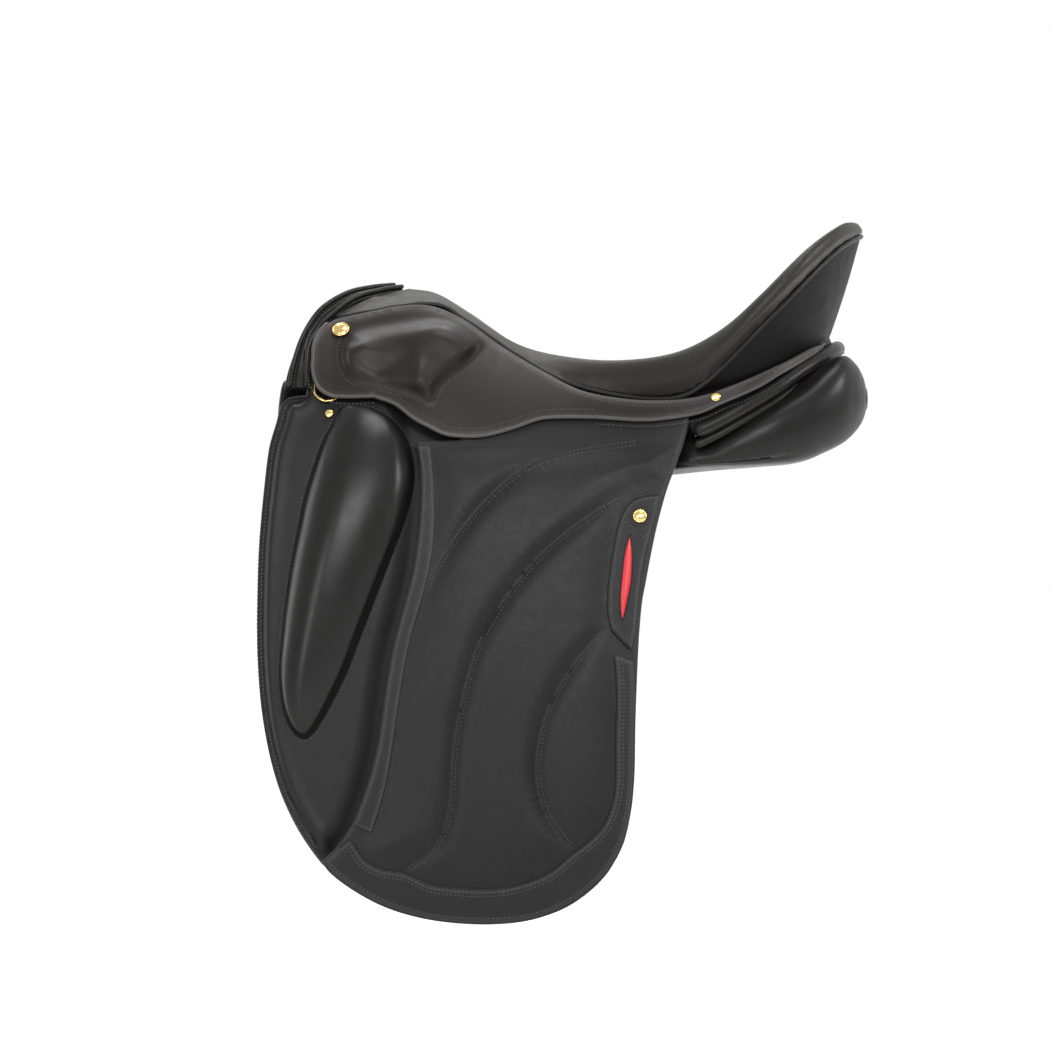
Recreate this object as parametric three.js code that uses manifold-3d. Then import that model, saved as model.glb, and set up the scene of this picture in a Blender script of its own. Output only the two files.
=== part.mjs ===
// English dressage saddle: tree, seat, panels, skirts, flaps, blocks, girth straps and brass.
// X runs from the pommel to the cantle, Y from the near side to the off side, and Z up.
// The origin lies on the centre plane, in the channel over the horse's back.

import * as THREE from 'three';
import { mergeVertices } from 'three/addons/utils/BufferGeometryUtils.js';
import Module from 'manifold-3d';

const wasm = await Module();
wasm.setup();

// Overall sizes, in millimetres.
const seatLength = 444.5;
const flapLength = 384;
const seatHalfWidth = 148;
const sideHalfWidth = 146;
const hemHalfWidth = 201;

// Outlines are shares of a square field round the side view: along from front to rear, then down.
const seatSpanShare = 0.527;
const flapSpanShare = 0.456;
const originAlongShare = 0.6;
const originDownShare = 0.467;
const fieldLength = seatLength / seatSpanShare;
const fieldHeight = flapLength / flapSpanShare;

// How the side surface curves.
const seamSpread = 70;
const hemCurveShare = 0.4;
const frontRollIn = 10;
const frontRollSpread = 22;
const rearRoundStart = 84;
const rearRoundReach = 121;
const surfaceStep = 2;

// Leather, foam and gaps.
const seatLeather = 2.2;
const foamGap = 0.5;
const foamThickness = 13.3;
const webGap = 0.7;
const webThickness = 1.5;
const railGap = 0.7;
const railThickness = 9;
const pipingRadius = 2.2;
const pipingGap = 0.95;
const skirtThickness = 3.6;
const skirtGap = 0.6;
const flapThickness = 4;
const flapPad = 4.6;
const flapPadReach = 20;
const channelDepth = 4.2;
const channelHalfWidth = 9;
const strapGap = 2;
const strapThickness = 3.8;
const sweatThickness = 5;
const forwardRise = 7;
const forwardReach = 20;
const trimThickness = 1.4;
const trimGap = 0.6;
const splitGap = 0.9;
const skirtCutGap = 2.8;
const seatRows = 22;
const seatColumnCount = 8;

// Offsets from the side surface, outward positive: the flap's outer face is zero.
const flapInner = -flapThickness;
const strapOuter = flapInner - strapGap;
const strapInner = strapOuter - strapThickness;
const sweatOuter = strapInner - strapGap;
const sweatInner = sweatOuter - sweatThickness;
const skirtInner = skirtGap;
const skirtOuter = skirtInner + skirtThickness;
const pipingPitch = pipingRadius + pipingGap;

// Mesh pitches.
const outlinePitch = 15;
const sheetPitch = 21;
const flapPitch = 24;
const blockPitch = 15;
const edgeMarginShare = 0.55;
const jitterShare = 0.04;

// Centre line, rim crest and seam of the seat: along, down, and the half width as a share.
const seatStationShares = [
  [0.4080, 0.286, 0.370, 0.296, 0.284, 0.334, 0.314, 0.405],
  [0.436, 0.291, 0.432, 0.295, 0.257, 0.428, 0.300, 0.412],
  [0.470, 0.311, 0.468, 0.313, 0.270, 0.466, 0.317, 0.446],
  [0.520, 0.344, 0.520, 0.344, 0.351, 0.516, 0.351, 0.527],
  [0.570, 0.359, 0.572, 0.357, 0.500, 0.566, 0.378, 0.622],
  [0.620, 0.367, 0.625, 0.360, 0.662, 0.622, 0.392, 0.716],
  [0.667, 0.366, 0.678, 0.352, 0.838, 0.672, 0.394, 0.824],
  [0.706, 0.352, 0.722, 0.329, 0.966, 0.708, 0.377, 0.926],
  [0.738, 0.334, 0.762, 0.293, 1.000, 0.752, 0.333, 0.966],
  [0.768, 0.311, 0.806, 0.249, 0.865, 0.796, 0.287, 0.865],
  [0.788, 0.293, 0.842, 0.223, 0.541, 0.838, 0.246, 0.568],
  [0.796, 0.285, 0.858, 0.221, 0.000, 0.865, 0.230, 0.000],
];
const rollShares = [0, 0, 0, 0.1, 0.3, 0.6, 0.9, 1, 1, 1, 1, 1];
const dishRiseShares = [0.22, 0.7];
const acrossShares = [0.5, 0.8];
const rollBulgeShare = 0.34;

// Seam along the top of the skirt, then under the cantle: along, down, half width.
const skirtTopShares = [
  [0.333, 0.314, 0.405],
  [0.360, 0.308, 0.405],
  [0.400, 0.300, 0.405],
  [0.430, 0.300, 0.412],
  [0.460, 0.312, 0.436],
  [0.500, 0.340, 0.500],
  [0.540, 0.364, 0.574],
  [0.580, 0.384, 0.649],
  [0.620, 0.392, 0.716],
  [0.660, 0.394, 0.797],
  [0.700, 0.391, 0.831],
  [0.740, 0.380, 0.824],
  [0.780, 0.361, 0.716],
  [0.810, 0.345, 0.507],
  [0.826, 0.337, 0.284],
  [0.833, 0.334, 0.000],
];
const facingStartShare = 0.6;
const facingBowShare = 0.05;

const clampShare = (value) => Math.min(1, Math.max(0, value));
const smooth = (value) => {
  const share = clampShare(value);
  return share * share * (3 - 2 * share);
};
const mix = (first, second, share) => first + (second - first) * share;
const along = (share) => (share - originAlongShare) * fieldLength;
const height = (share) => (originDownShare - share) * fieldHeight;
const half = (share) => share * seatHalfWidth;

// A smooth value through a row of evenly numbered stations.
function spline(values, place) {
  const last = values.length - 1;
  const index = Math.min(last - 1, Math.max(0, Math.floor(place)));
  const share = place - index;
  const first = values[index];
  const second = values[index + 1];
  const before = index > 0 ? values[index - 1] : first * 2 - second;
  const after = index + 2 <= last ? values[index + 2] : second * 2 - first;
  const slope = (second - before) / 2;
  const slopeAfter = (after - first) / 2;
  const squared = share * share;
  const cubed = squared * share;
  return (2 * cubed - 3 * squared + 1) * first + (cubed - 2 * squared + share) * slope
    + (3 * squared - 2 * cubed) * second + (cubed - squared) * slopeAfter;
}

// The value of column `column` of a table at a given length along the saddle.
function tableAt(table, x, column, size) {
  const last = table.length - 1;
  if (x <= along(table[0][0])) return size(table[0][column]);
  if (x >= along(table[last][0])) return size(table[last][column]);
  let index = 0;
  while (along(table[index + 1][0]) < x) index += 1;
  const start = along(table[index][0]);
  const share = (x - start) / (along(table[index + 1][0]) - start);
  return size(spline(table.map((row) => row[column]), index + share));
}

const seamHeight = (x) => tableAt(skirtTopShares, x, 1, height);
const seamHalf = (x) => tableAt(skirtTopShares, x, 2, half);

// Half width of the hanging flaps at a height, before the seam draws the leather in.
function hangHalf(x, z) {
  const drop = -z / flapLength;
  const spread = (hemHalfWidth - sideHalfWidth) * (1 + hemCurveShare);
  const curve = drop > 0 ? (hemHalfWidth - sideHalfWidth) * hemCurveShare * drop * drop : 0;
  const front = along(flapFrontEdgeShare) - x;
  const rollIn = frontRollIn * Math.exp(front / frontRollSpread);
  const behind = Math.max(0, x - rearRoundStart) / rearRoundReach;
  return (sideHalfWidth + spread * drop - curve - rollIn) * Math.sqrt(Math.max(0, 1 - behind * behind));
}

const flapFrontEdgeShare = 0.257;

// Half width of the side surface, which hangs from the seam under the seat.
function sideHalf(x, z) {
  const seam = seamHeight(x);
  const drawnIn = Math.max(0, hangHalf(x, seam) - seamHalf(x));
  return hangHalf(x, z) - drawnIn * Math.exp((Math.min(z, seam) - seam) / seamSpread);
}

// A point on the near side, moved out from the side surface by an offset.
function sidePoint(x, z, offset) {
  const slopeX = (sideHalf(x + surfaceStep, z) - sideHalf(x - surfaceStep, z)) / (2 * surfaceStep);
  const slopeZ = (sideHalf(x, z + surfaceStep) - sideHalf(x, z - surfaceStep)) / (2 * surfaceStep);
  const normal = new THREE.Vector3(-slopeX, -1, -slopeZ).normalize();
  return new THREE.Vector3(x, -sideHalf(x, z), z).addScaledVector(normal, offset);
}

const mirrored = (point) => new THREE.Vector3(point.x, -point.y, point.z);

// A closed mesh from a list of points and triangles, with its shared points joined.
function solid(points, triangles) {
  const geometry = new THREE.BufferGeometry();
  geometry.setAttribute('position', new THREE.Float32BufferAttribute(points.flatMap((p) => [p.x, p.y, p.z]), 3));
  geometry.setIndex(triangles.flat());
  return geometry;
}

// The same mesh on the off side.
function offSide(geometry) {
  const points = geometry.clone();
  points.scale(1, -1, 1);
  const index = points.index ? Array.from(points.index.array)
    : Array.from({ length: points.attributes.position.count }, (unused, number) => number);
  for (let corner = 0; corner < index.length; corner += 3) {
    [index[corner + 1], index[corner + 2]] = [index[corner + 2], index[corner + 1]];
  }
  points.setIndex(index);
  return points;
}

// Side outlines.

// A smooth line through hand-placed points, cut into steps of about one pitch.
function smoothLine(shares, pitch) {
  const curve = new THREE.CatmullRomCurve3(
    shares.map(([across, down]) => new THREE.Vector3(along(across), 0, height(down))), false, 'centripetal');
  const steps = Math.max(1, Math.round(curve.getLength() / pitch));
  return curve.getSpacedPoints(steps).map((point) => [point.x, point.z]);
}

// Joins smooth lines end to end into one closed outline.
function outlineOf(lines, pitch) {
  const outline = [];
  for (const line of lines) {
    const points = smoothLine(line, pitch);
    points.pop();
    outline.push(...points);
  }
  return outline;
}

function signedArea(outline) {
  let area = 0;
  outline.forEach(([x, z], number) => {
    const [nextX, nextZ] = outline[(number + 1) % outline.length];
    area += x * nextZ - nextX * z;
  });
  return area / 2;
}

function isInside(outline, x, z) {
  let inside = false;
  for (let number = 0; number < outline.length; number += 1) {
    const [x0, z0] = outline[number];
    const [x1, z1] = outline[(number + 1) % outline.length];
    if ((z0 > z) !== (z1 > z) && x < x0 + (x1 - x0) * (z - z0) / (z1 - z0)) inside = !inside;
  }
  return inside;
}

function distanceToLine(line, x, z, closed) {
  let least = Infinity;
  const count = closed ? line.length : line.length - 1;
  for (let number = 0; number < count; number += 1) {
    const [x0, z0] = line[number];
    const [x1, z1] = line[(number + 1) % line.length];
    const lengthSquared = (x1 - x0) ** 2 + (z1 - z0) ** 2;
    const share = lengthSquared ? clampShare(((x - x0) * (x1 - x0) + (z - z0) * (z1 - z0)) / lengthSquared) : 0;
    least = Math.min(least, Math.hypot(x - x0 - share * (x1 - x0), z - z0 - share * (z1 - z0)));
  }
  return least;
}

// Evenly spread points inside an outline, in rows like bricks.
function fillPoints(outline, pitch, keepClear = []) {
  const margin = pitch * edgeMarginShare;
  const xs = outline.map(([x]) => x);
  const zs = outline.map(([, z]) => z);
  const rowHeight = pitch * Math.sqrt(3) / 2;
  const points = [];
  let row = 0;
  for (let z = Math.min(...zs) + margin; z < Math.max(...zs); z += rowHeight) {
    const shift = row % 2 ? pitch / 2 : 0;
    for (let x = Math.min(...xs) + shift; x < Math.max(...xs); x += pitch) {
      const wobble = pitch * jitterShare * Math.sin(points.length * points.length);
      const place = [x + wobble, z - wobble / 2];
      const clear = keepClear.every((line) => distanceToLine(line, place[0], place[1], false) > pitch * 0.8);
      if (isInside(outline, place[0], place[1]) && clear
        && distanceToLine(outline, place[0], place[1], true) > margin) points.push(place);
    }
    row += 1;
  }
  return points;
}

// Delaunay triangles of an outline and the points inside it.
function triangulate(outline, inner) {
  const points = [...outline, ...inner];
  const xs = points.map(([x]) => x);
  const zs = points.map(([, z]) => z);
  const reach = Math.max(Math.max(...xs) - Math.min(...xs), Math.max(...zs) - Math.min(...zs)) * 20;
  const middle = [Math.min(...xs), Math.min(...zs)];
  const count = points.length;
  const all = [...points, [middle[0] - reach, middle[1] - reach], [middle[0] + reach * 2, middle[1] - reach],
    [middle[0] - reach, middle[1] + reach * 2]];
  const circle = (corners) => {
    const [[ax, az], [bx, bz], [cx, cz]] = corners.map((corner) => all[corner]);
    const d = 2 * (ax * (bz - cz) + bx * (cz - az) + cx * (az - bz));
    const a = ax * ax + az * az;
    const b = bx * bx + bz * bz;
    const c = cx * cx + cz * cz;
    const x = (a * (bz - cz) + b * (cz - az) + c * (az - bz)) / d;
    const z = (a * (cx - bx) + b * (ax - cx) + c * (bx - ax)) / d;
    return { corners, x, z, radius: Math.hypot(ax - x, az - z) };
  };
  let triangles = [circle([count, count + 1, count + 2])];
  points.forEach(([x, z], number) => {
    const kept = [];
    const edges = new Map();
    for (const triangle of triangles) {
      if (Math.hypot(x - triangle.x, z - triangle.z) < triangle.radius) {
        const [a, b, c] = triangle.corners;
        for (const [from, to] of [[a, b], [b, c], [c, a]]) {
          if (edges.has(`${to},${from}`)) edges.delete(`${to},${from}`);
          else edges.set(`${from},${to}`, [from, to]);
        }
      } else {
        kept.push(triangle);
      }
    }
    for (const [from, to] of edges.values()) kept.push(circle([from, to, number]));
    triangles = kept;
  });
  const corners = triangles.map((triangle) => triangle.corners).filter((triangle) => {
    if (triangle.some((corner) => corner >= count)) return false;
    const x = triangle.reduce((sum, corner) => sum + all[corner][0], 0) / 3;
    const z = triangle.reduce((sum, corner) => sum + all[corner][1], 0) / 3;
    return isInside(outline, x, z);
  });
  return { points, corners };
}

// A leather sheet on the near side: its outline, its two offsets and the points that shape it.
function sheet({ outline, outer, inner, outerPoints, innerPoints }) {
  const loop = signedArea(outline) > 0 ? outline : [...outline].reverse();
  const front = triangulate(loop, outerPoints);
  const back = triangulate(loop, innerPoints);
  const points = [];
  front.points.forEach(([x, z]) => points.push(sidePoint(x, z, outer(x, z))));
  const shift = points.length;
  back.points.forEach(([x, z]) => points.push(sidePoint(x, z, inner(x, z))));
  const triangles = [];
  for (const [a, b, c] of front.corners) triangles.push([a, b, c]);
  for (const [a, b, c] of back.corners) triangles.push([shift + a, shift + c, shift + b]);
  loop.forEach((unused, number) => {
    const next = (number + 1) % loop.length;
    triangles.push([number, shift + number, shift + next]);
    triangles.push([number, shift + next, next]);
  });
  return solid(points, triangles);
}

// Seat, foam, webbing and tree, all from one surface.

const seatColumns = {
  centre: [0, 1],
  crest: [2, 3, 4],
  seam: [5, 6, 7],
};

// Six control points across the seat at a place along it, each moved in by a depth.
function seatControls(place, depth) {
  const at = (column) => spline(seatStationShares.map((row) => row[column]), place);
  const atEnd = (column) => {
    const values = seatStationShares.map((row) => row[column]);
    values.push(column === 4 || column === 7 ? -values[values.length - 2] : values[values.length - 2]);
    return spline(values, place);
  };
  const value = place > seatStationShares.length - 2 ? atEnd : at;
  const roll = clampShare(spline(rollShares, place));
  const [centreAlong, centreDown] = seatColumns.centre.map(value);
  const [crestAlong, crestDown, crestOut] = seatColumns.crest.map(value);
  const [seamAlong, seamDown, seamOut] = seatColumns.seam.map(value);
  const centre = new THREE.Vector3(along(centreAlong), 0, height(centreDown));
  const crest = new THREE.Vector3(along(crestAlong), -half(crestOut), height(crestDown));
  const seam = new THREE.Vector3(along(seamAlong), -half(seamOut), height(seamDown));
  const inward = new THREE.Vector3(centre.x - crest.x, centre.y - crest.y, 0).normalize();
  const between = acrossShares.map((share, number) => new THREE.Vector3(
    mix(centre.x, crest.x, share), mix(centre.y, crest.y, share),
    mix(centre.z, crest.z, mix(share, dishRiseShares[number], roll))));
  const outermost = crest.clone().lerp(seam, 0.5);
  outermost.addScaledVector(inward, -rollBulgeShare * mix(0.3, 1, roll) * Math.abs(crest.z - seam.z));
  const direction = (inwardShare, downShare) => inward.clone().multiplyScalar(inwardShare)
    .add(new THREE.Vector3(0, 0, -downShare));
  const places = [centre, ...between, crest, outermost, seam];
  const inwardShares = [0, 0.05, 0.15, mix(0.3, 0.6, roll), mix(0.4, 1, roll), mix(0.5, 0.85, roll)];
  const downShares = [1, 1, 1, mix(0.95, 0.8, roll), mix(0.9, 0.1, roll), mix(0.85, -0.5, roll)];
  return places.map((point, number) => point.addScaledVector(
    direction(inwardShares[number], downShares[number]), depth));
}

// A point of the seat: a share along from pommel to cantle and a share across from centre to seam.
function seatPoint(alongShare, acrossShare, depth) {
  const controls = seatControls(alongShare * (seatStationShares.length - 1), depth);
  const place = acrossShare * (controls.length - 1);
  const read = (axis) => {
    const values = controls.map((point) => point[axis]);
    const opposite = axis === 'y' ? -values[1] : values[1];
    return spline([opposite, ...values], place + 1);
  };
  return new THREE.Vector3(read('x'), read('y'), read('z'));
}

// A layer of the seat on both sides of the centre plane.
function seatLayer({ start, end, rows, columns, innerEdge, outerEdge, top, bottom }) {
  const points = [];
  const rowShares = Array.from({ length: rows + 1 }, (unused, row) => mix(start, end, row / rows));
  const grid = (depth) => rowShares.map((share) => Array.from({ length: columns + 1 }, (unused, column) => {
    const across = Math.min(mix(innerEdge(share), 1, column / columns), outerEdge(share));
    const even = mix(innerEdge(share), outerEdge(share), column / columns);
    points.push(seatPoint(share, outerEdge(share) > foamEdgeShare - edgeShare ? across : even, depth));
    return points.length - 1;
  }));
  const upper = grid(top);
  const lower = grid(bottom);
  const triangles = [];
  const quad = (a, b, c, d) => triangles.push([a, b, d], [b, c, d]);
  for (let row = 0; row < rows; row += 1) {
    for (let column = 0; column < columns; column += 1) {
      quad(upper[row][column], upper[row][column + 1], upper[row + 1][column + 1], upper[row + 1][column]);
      quad(lower[row][column], lower[row + 1][column], lower[row + 1][column + 1], lower[row][column + 1]);
    }
    quad(upper[row][columns], lower[row][columns], lower[row + 1][columns], upper[row + 1][columns]);
    if (innerEdge(rowShares[row + 1]) > 0) {
      quad(upper[row][0], upper[row + 1][0], lower[row + 1][0], lower[row][0]);
    }
  }
  for (let column = 0; column < columns; column += 1) {
    quad(upper[0][column], lower[0][column], lower[0][column + 1], upper[0][column + 1]);
    if (end < 1) {
      quad(upper[rows][column], upper[rows][column + 1], lower[rows][column + 1], lower[rows][column]);
    }
  }
  const near = solid(points, triangles);
  return joinedHalves(near);
}

// Joins a half to its mirror image across the centre plane.
function joinedHalves(near) {
  const far = offSide(near);
  const positions = [...near.attributes.position.array, ...far.attributes.position.array];
  const shift = near.attributes.position.count;
  const index = [...near.index.array, ...Array.from(far.index.array, (corner) => corner + shift)];
  const both = new THREE.BufferGeometry();
  both.setAttribute('position', new THREE.Float32BufferAttribute(positions, 3));
  both.setIndex(index);
  return welded(both);
}

// Joins shared points and leaves out the triangles that this closes up.
function welded(geometry) {
  const merged = mergeVertices(geometry, surfaceStep / 1000);
  const kept = [];
  const corners = merged.index.array;
  for (let corner = 0; corner < corners.length; corner += 3) {
    const [a, b, c] = [corners[corner], corners[corner + 1], corners[corner + 2]];
    if (a !== b && b !== c && c !== a) kept.push(a, b, c);
  }
  merged.setIndex(kept);
  return merged;
}

const foamTop = seatLeather + foamGap;
const foamBottom = foamTop + foamThickness;
const webTop = foamBottom + webGap;
const webBottom = webTop + webThickness;
const railTop = webBottom + railGap;
const railBottom = railTop + railThickness;

function seatLeatherShape() {
  return seatLayer({
    start: 0, end: 1, rows: seatRows, columns: seatColumnCount, innerEdge: () => 0, outerEdge: () => 1,
    top: 0, bottom: seatLeather,
  });
}

const foamEdgeShare = 0.97;
const edgeShare = 0.01;

function seatFoamShape() {
  return seatLayer({
    start: 0, end: 1, rows: seatRows, columns: seatColumnCount, innerEdge: () => 0,
    outerEdge: () => foamEdgeShare, top: foamTop, bottom: foamBottom,
  });
}

const webHalfWidth = 26;
const webStartShare = 1 / 22;
const webEndShare = 19 / 22;

function seatWebShape() {
  const crestHalf = (share) => Math.max(webHalfWidth,
    half(spline(seatStationShares.map((row) => row[4]), share * (seatStationShares.length - 1))));
  return seatLayer({
    start: webStartShare, end: webEndShare, rows: 18, columns: 1, innerEdge: () => 0,
    outerEdge: (share) => 0.4 * webHalfWidth / crestHalf(share), top: webTop, bottom: webBottom,
  });
}

const railStartShare = 1 / 22;
const headEndShare = 3.5 / 22;
const railInnerShares = [0.44, 0.46, 0.46, 0.42, 0.3, 0.2];
const railOuterShares = [0.78, 0.74, 0.72, 0.68, 0.6, 0.56];

function treeShape() {
  const inner = (share) => (share <= headEndShare ? 0
    : spline(railInnerShares, (share - headEndShare) / (1 - headEndShare) * (railInnerShares.length - 1)));
  const outer = (share) => spline(railOuterShares, share * (railOuterShares.length - 1));
  return seatLayer({
    start: railStartShare, end: 1, rows: 21, columns: 3, innerEdge: inner, outerEdge: outer,
    top: railTop, bottom: railBottom,
  });
}

// A round cord along a path of points.
function cord(points, radius, sides, steps) {
  const section = new THREE.Shape();
  for (let side = 0; side < sides; side += 1) {
    const angle = side / sides * Math.PI * 2;
    const place = [radius * Math.cos(angle), radius * Math.sin(angle)];
    if (side) section.lineTo(...place);
    else section.moveTo(...place);
  }
  section.closePath();
  const path = new THREE.CatmullRomCurve3(points, false, 'centripetal');
  return new THREE.ExtrudeGeometry(section, { steps, bevelEnabled: false, extrudePath: path });
}

// Both halves of a path that crosses the centre plane, from the off side round to the near side.
const acrossCentre = (near) => [...near.slice(0, -1), near[near.length - 1],
  ...near.slice(0, -1).reverse().map(mirrored)];

// The seam's own direction, from the seat's edge towards the leather below it.
function seamStep(share, distance) {
  const seam = seatPoint(share, 1, 0);
  const place = share * (seatStationShares.length - 1);
  const target = place < 7 ? new THREE.Vector3(seam.x, -sideHalf(seam.x, seam.z - skirtDrop), seam.z - skirtDrop)
    : facingFoot(share);
  return seam.addScaledVector(target.sub(seam).normalize(), distance);
}

const skirtDrop = 20;

// The foot of the cantle facing, along the rear part of the skirt's top seam.
function facingFoot(share) {
  const place = mix(9.6, skirtTopShares.length - 1, (share - facingStartShare) / (1 - facingStartShare));
  const at = (column) => spline(skirtTopShares.map((row) => row[column]), place);
  return new THREE.Vector3(along(at(0)), -half(at(2)), height(at(1)));
}

function seatPipingShape() {
  const count = 24;
  const near = Array.from({ length: count + 1 }, (unused, number) => seamStep(number / count, pipingPitch));
  near[count].y = 0;
  return cord(acrossCentre(near), pipingRadius, 5, 60);
}

const facingThickness = 2.4;
const facingTop = pipingPitch * 2;
const facingRows = 3;
const facingColumns = 12;

// The leather back of the cantle, from the piping down to the skirt's top seam.
function cantleFacingShape() {
  const points = [];
  const grid = (depth) => Array.from({ length: facingColumns + 1 }, (unused, column) => {
    const share = mix(facingFirstShare, 1, column / facingColumns);
    const seam = seatPoint(share, 1, 0);
    const foot = facingFoot(share);
    const middle = seatPoint(share, 0, 0);
    const inward = new THREE.Vector3(middle.x - seam.x, middle.y - seam.y, 0).normalize();
    const top = seamStep(share, facingTop);
    const low = foot.clone().lerp(seam, facingLiftShare);
    return Array.from({ length: facingRows + 1 }, (unusedRow, row) => {
      const down = row / facingRows;
      const point = top.clone().lerp(low, down);
      const bow = facingBowShare * top.distanceTo(low) * Math.sin(Math.PI * down);
      point.addScaledVector(inward, bow + depth);
      if (column === facingColumns) point.y = 0;
      points.push(point);
      return points.length - 1;
    });
  });
  const outside = grid(0);
  const inside = grid(facingThickness);
  const triangles = [];
  const quad = (a, b, c, d) => triangles.push([a, b, c], [a, c, d]);
  for (let column = 0; column < facingColumns; column += 1) {
    for (let row = 0; row < facingRows; row += 1) {
      quad(outside[column][row], outside[column][row + 1], outside[column + 1][row + 1], outside[column + 1][row]);
      quad(inside[column][row], inside[column + 1][row], inside[column + 1][row + 1], inside[column][row + 1]);
    }
    quad(outside[column][0], outside[column + 1][0], inside[column + 1][0], inside[column][0]);
    quad(outside[column][facingRows], inside[column][facingRows], inside[column + 1][facingRows],
      outside[column + 1][facingRows]);
  }
  for (let row = 0; row < facingRows; row += 1) {
    quad(outside[0][row], inside[0][row], inside[0][row + 1], outside[0][row + 1]);
  }
  return joinedHalves(solid(points, triangles));
}

const facingFirstShare = 0.622;
const facingLiftShare = 0.02;

// Skirt, in a fixed head and a part that lifts over the stirrup bar.

const skirtFoldShares = [[0.380, 0.352], [0.450, 0.3729], [0.520, 0.3937], [0.588, 0.414]];
const skirtCornerShares = [[0.326, 0.325], [0.334, 0.321]];
const skirtSeamShare = 1.06;
const facingGap = 2;
const pipedRows = 10;
const below = (shares, drop) => shares.map(([across, down]) => [across, down + drop / fieldHeight]);
const skirtTopEdge = [
  ...skirtCornerShares,
  ...below(skirtTopShares.slice(1, pipedRows), pipingPitch * 2 * skirtSeamShare),
  ...below(skirtTopShares.slice(pipedRows, pipedRows + 1), facingGap * 2.4),
  ...below(skirtTopShares.slice(pipedRows + 1, -2), facingGap),
  [0.822, 0.343],
];
const skirtRearEdgeShares = [[0.822, 0.343], [0.815, 0.350], [0.800, 0.360], [0.780, 0.372], [0.760, 0.385],
  [0.740, 0.395], [0.720, 0.404], [0.700, 0.413], [0.660, 0.420], [0.640, 0.421], [0.602, 0.419]];
const skirtStepShares = [[0.602, 0.419], [0.588, 0.414]];
const skirtFrontShares = [[0.3125, 0.350], [0.3155, 0.338], [0.320, 0.331], [0.326, 0.325]];
const skirtCornerEdgeShares = [[0.375, 0.397], [0.345, 0.398], [0.332, 0.397], [0.322, 0.392], [0.316, 0.385],
  [0.312, 0.370], [0.3125, 0.358], [0.3125, 0.350]];
const skirtLobeShares = [[0.378, 0.3978], [0.395, 0.405], [0.415, 0.420], [0.430, 0.428], [0.445, 0.435],
  [0.460, 0.437], [0.480, 0.437], [0.510, 0.430], [0.540, 0.420], [0.560, 0.4185], [0.588, 0.4185]];
const bumpHeight = 7;
const bumpRidge = 3;
const bumpCentreShare = [0.412, 0.357];
const bumpReachShare = [0.066, 0.040];
const bumpSpotShares = [
  [0.432, 0.343, 0.024, 0.020, 1],
  [0.360, 0.357, 0.022, 0.008, 0.8],
  [0.422, 0.384, 0.010, 0.022, 1],
  [0.384, 0.377, 0.016, 0.012, -1.2],
  [0.455, 0.372, 0.014, 0.012, -0.6],
];

// The moulded rise of the skirt over the stirrup bar.
function bump(x, z) {
  const across = (x - along(bumpCentreShare[0])) / (bumpReachShare[0] * fieldLength);
  const down = (z - height(bumpCentreShare[1])) / (bumpReachShare[1] * fieldHeight);
  const mound = bumpHeight * Math.exp(-((across * across + down * down) ** 2));
  return bumpSpotShares.reduce((sum, [spotAlong, spotDown, reachAlong, reachDown, strength]) => {
    const spotAcross = (x - along(spotAlong)) / (reachAlong * fieldLength);
    const spotHigh = (z - height(spotDown)) / (reachDown * fieldHeight);
    return sum + strength * bumpRidge * Math.exp(-(spotAcross * spotAcross) - spotHigh * spotHigh);
  }, mound);
}

const skirtOutside = (x, z) => skirtOuter + bump(x, z);
const skirtInside = (x, z) => skirtInner + bump(x, z);
function skirtHeadShape() {
  const outline = outlineOf([skirtTopEdge, skirtRearEdgeShares, skirtStepShares,
    [...skirtFoldShares].reverse(), [skirtFoldShares[0], skirtCornerEdgeShares[0]], skirtCornerEdgeShares,
    skirtFrontShares], outlinePitch * 0.8);
  const points = fillPoints(outline, sheetPitch * 0.72);
  return sheet({ outline, outer: skirtOutside, inner: skirtInside, outerPoints: points, innerPoints: points });
}

function skirtShape() {
  const fold = below(skirtFoldShares, splitGap);
  fold[0] = [fold[0][0] + skirtCutGap / fieldLength, fold[0][1] + splitGap / fieldHeight];
  const lobe = below(skirtLobeShares, 0);
  const outline = outlineOf([[fold[0], lobe[0]], lobe, [lobe[lobe.length - 1], fold[fold.length - 1]],
    [...fold].reverse()], outlinePitch * 0.8);
  const points = fillPoints(outline, sheetPitch * 0.66);
  return sheet({ outline, outer: skirtOutside, inner: skirtInside, outerPoints: points, innerPoints: points });
}

// Flap, in a fixed head under the skirt and a padded part that lifts over the girth straps.

const flapFoldShares = [[0.415, 0.441], [0.500, 0.4376], [0.600, 0.4336], [0.687, 0.430]];
const flapHeadTopShares = [[0.460, 0.421], [0.520, 0.4145], [0.575, 0.4115], [0.600, 0.404], [0.660, 0.405],
  [0.690, 0.404]];
const flapFrontShares = [[0.415, 0.441], [0.418, 0.452], [0.420, 0.475], [0.420, 0.500], [0.418, 0.530],
  [0.415, 0.555], [0.411, 0.577], [0.405, 0.600], [0.398, 0.626], [0.392, 0.650], [0.388, 0.672],
  [0.384, 0.700], [0.380, 0.730], [0.376, 0.752], [0.370, 0.776], [0.362, 0.800], [0.352, 0.824], [0.337, 0.846],
  [0.322, 0.861]];
const flapHemShares = [[0.322, 0.861], [0.331, 0.872], [0.352, 0.888], [0.381, 0.904], [0.410, 0.914],
  [0.440, 0.920], [0.485, 0.923], [0.524, 0.920], [0.550, 0.913], [0.570, 0.904], [0.592, 0.888], [0.607, 0.872],
  [0.617, 0.856]];
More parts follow.
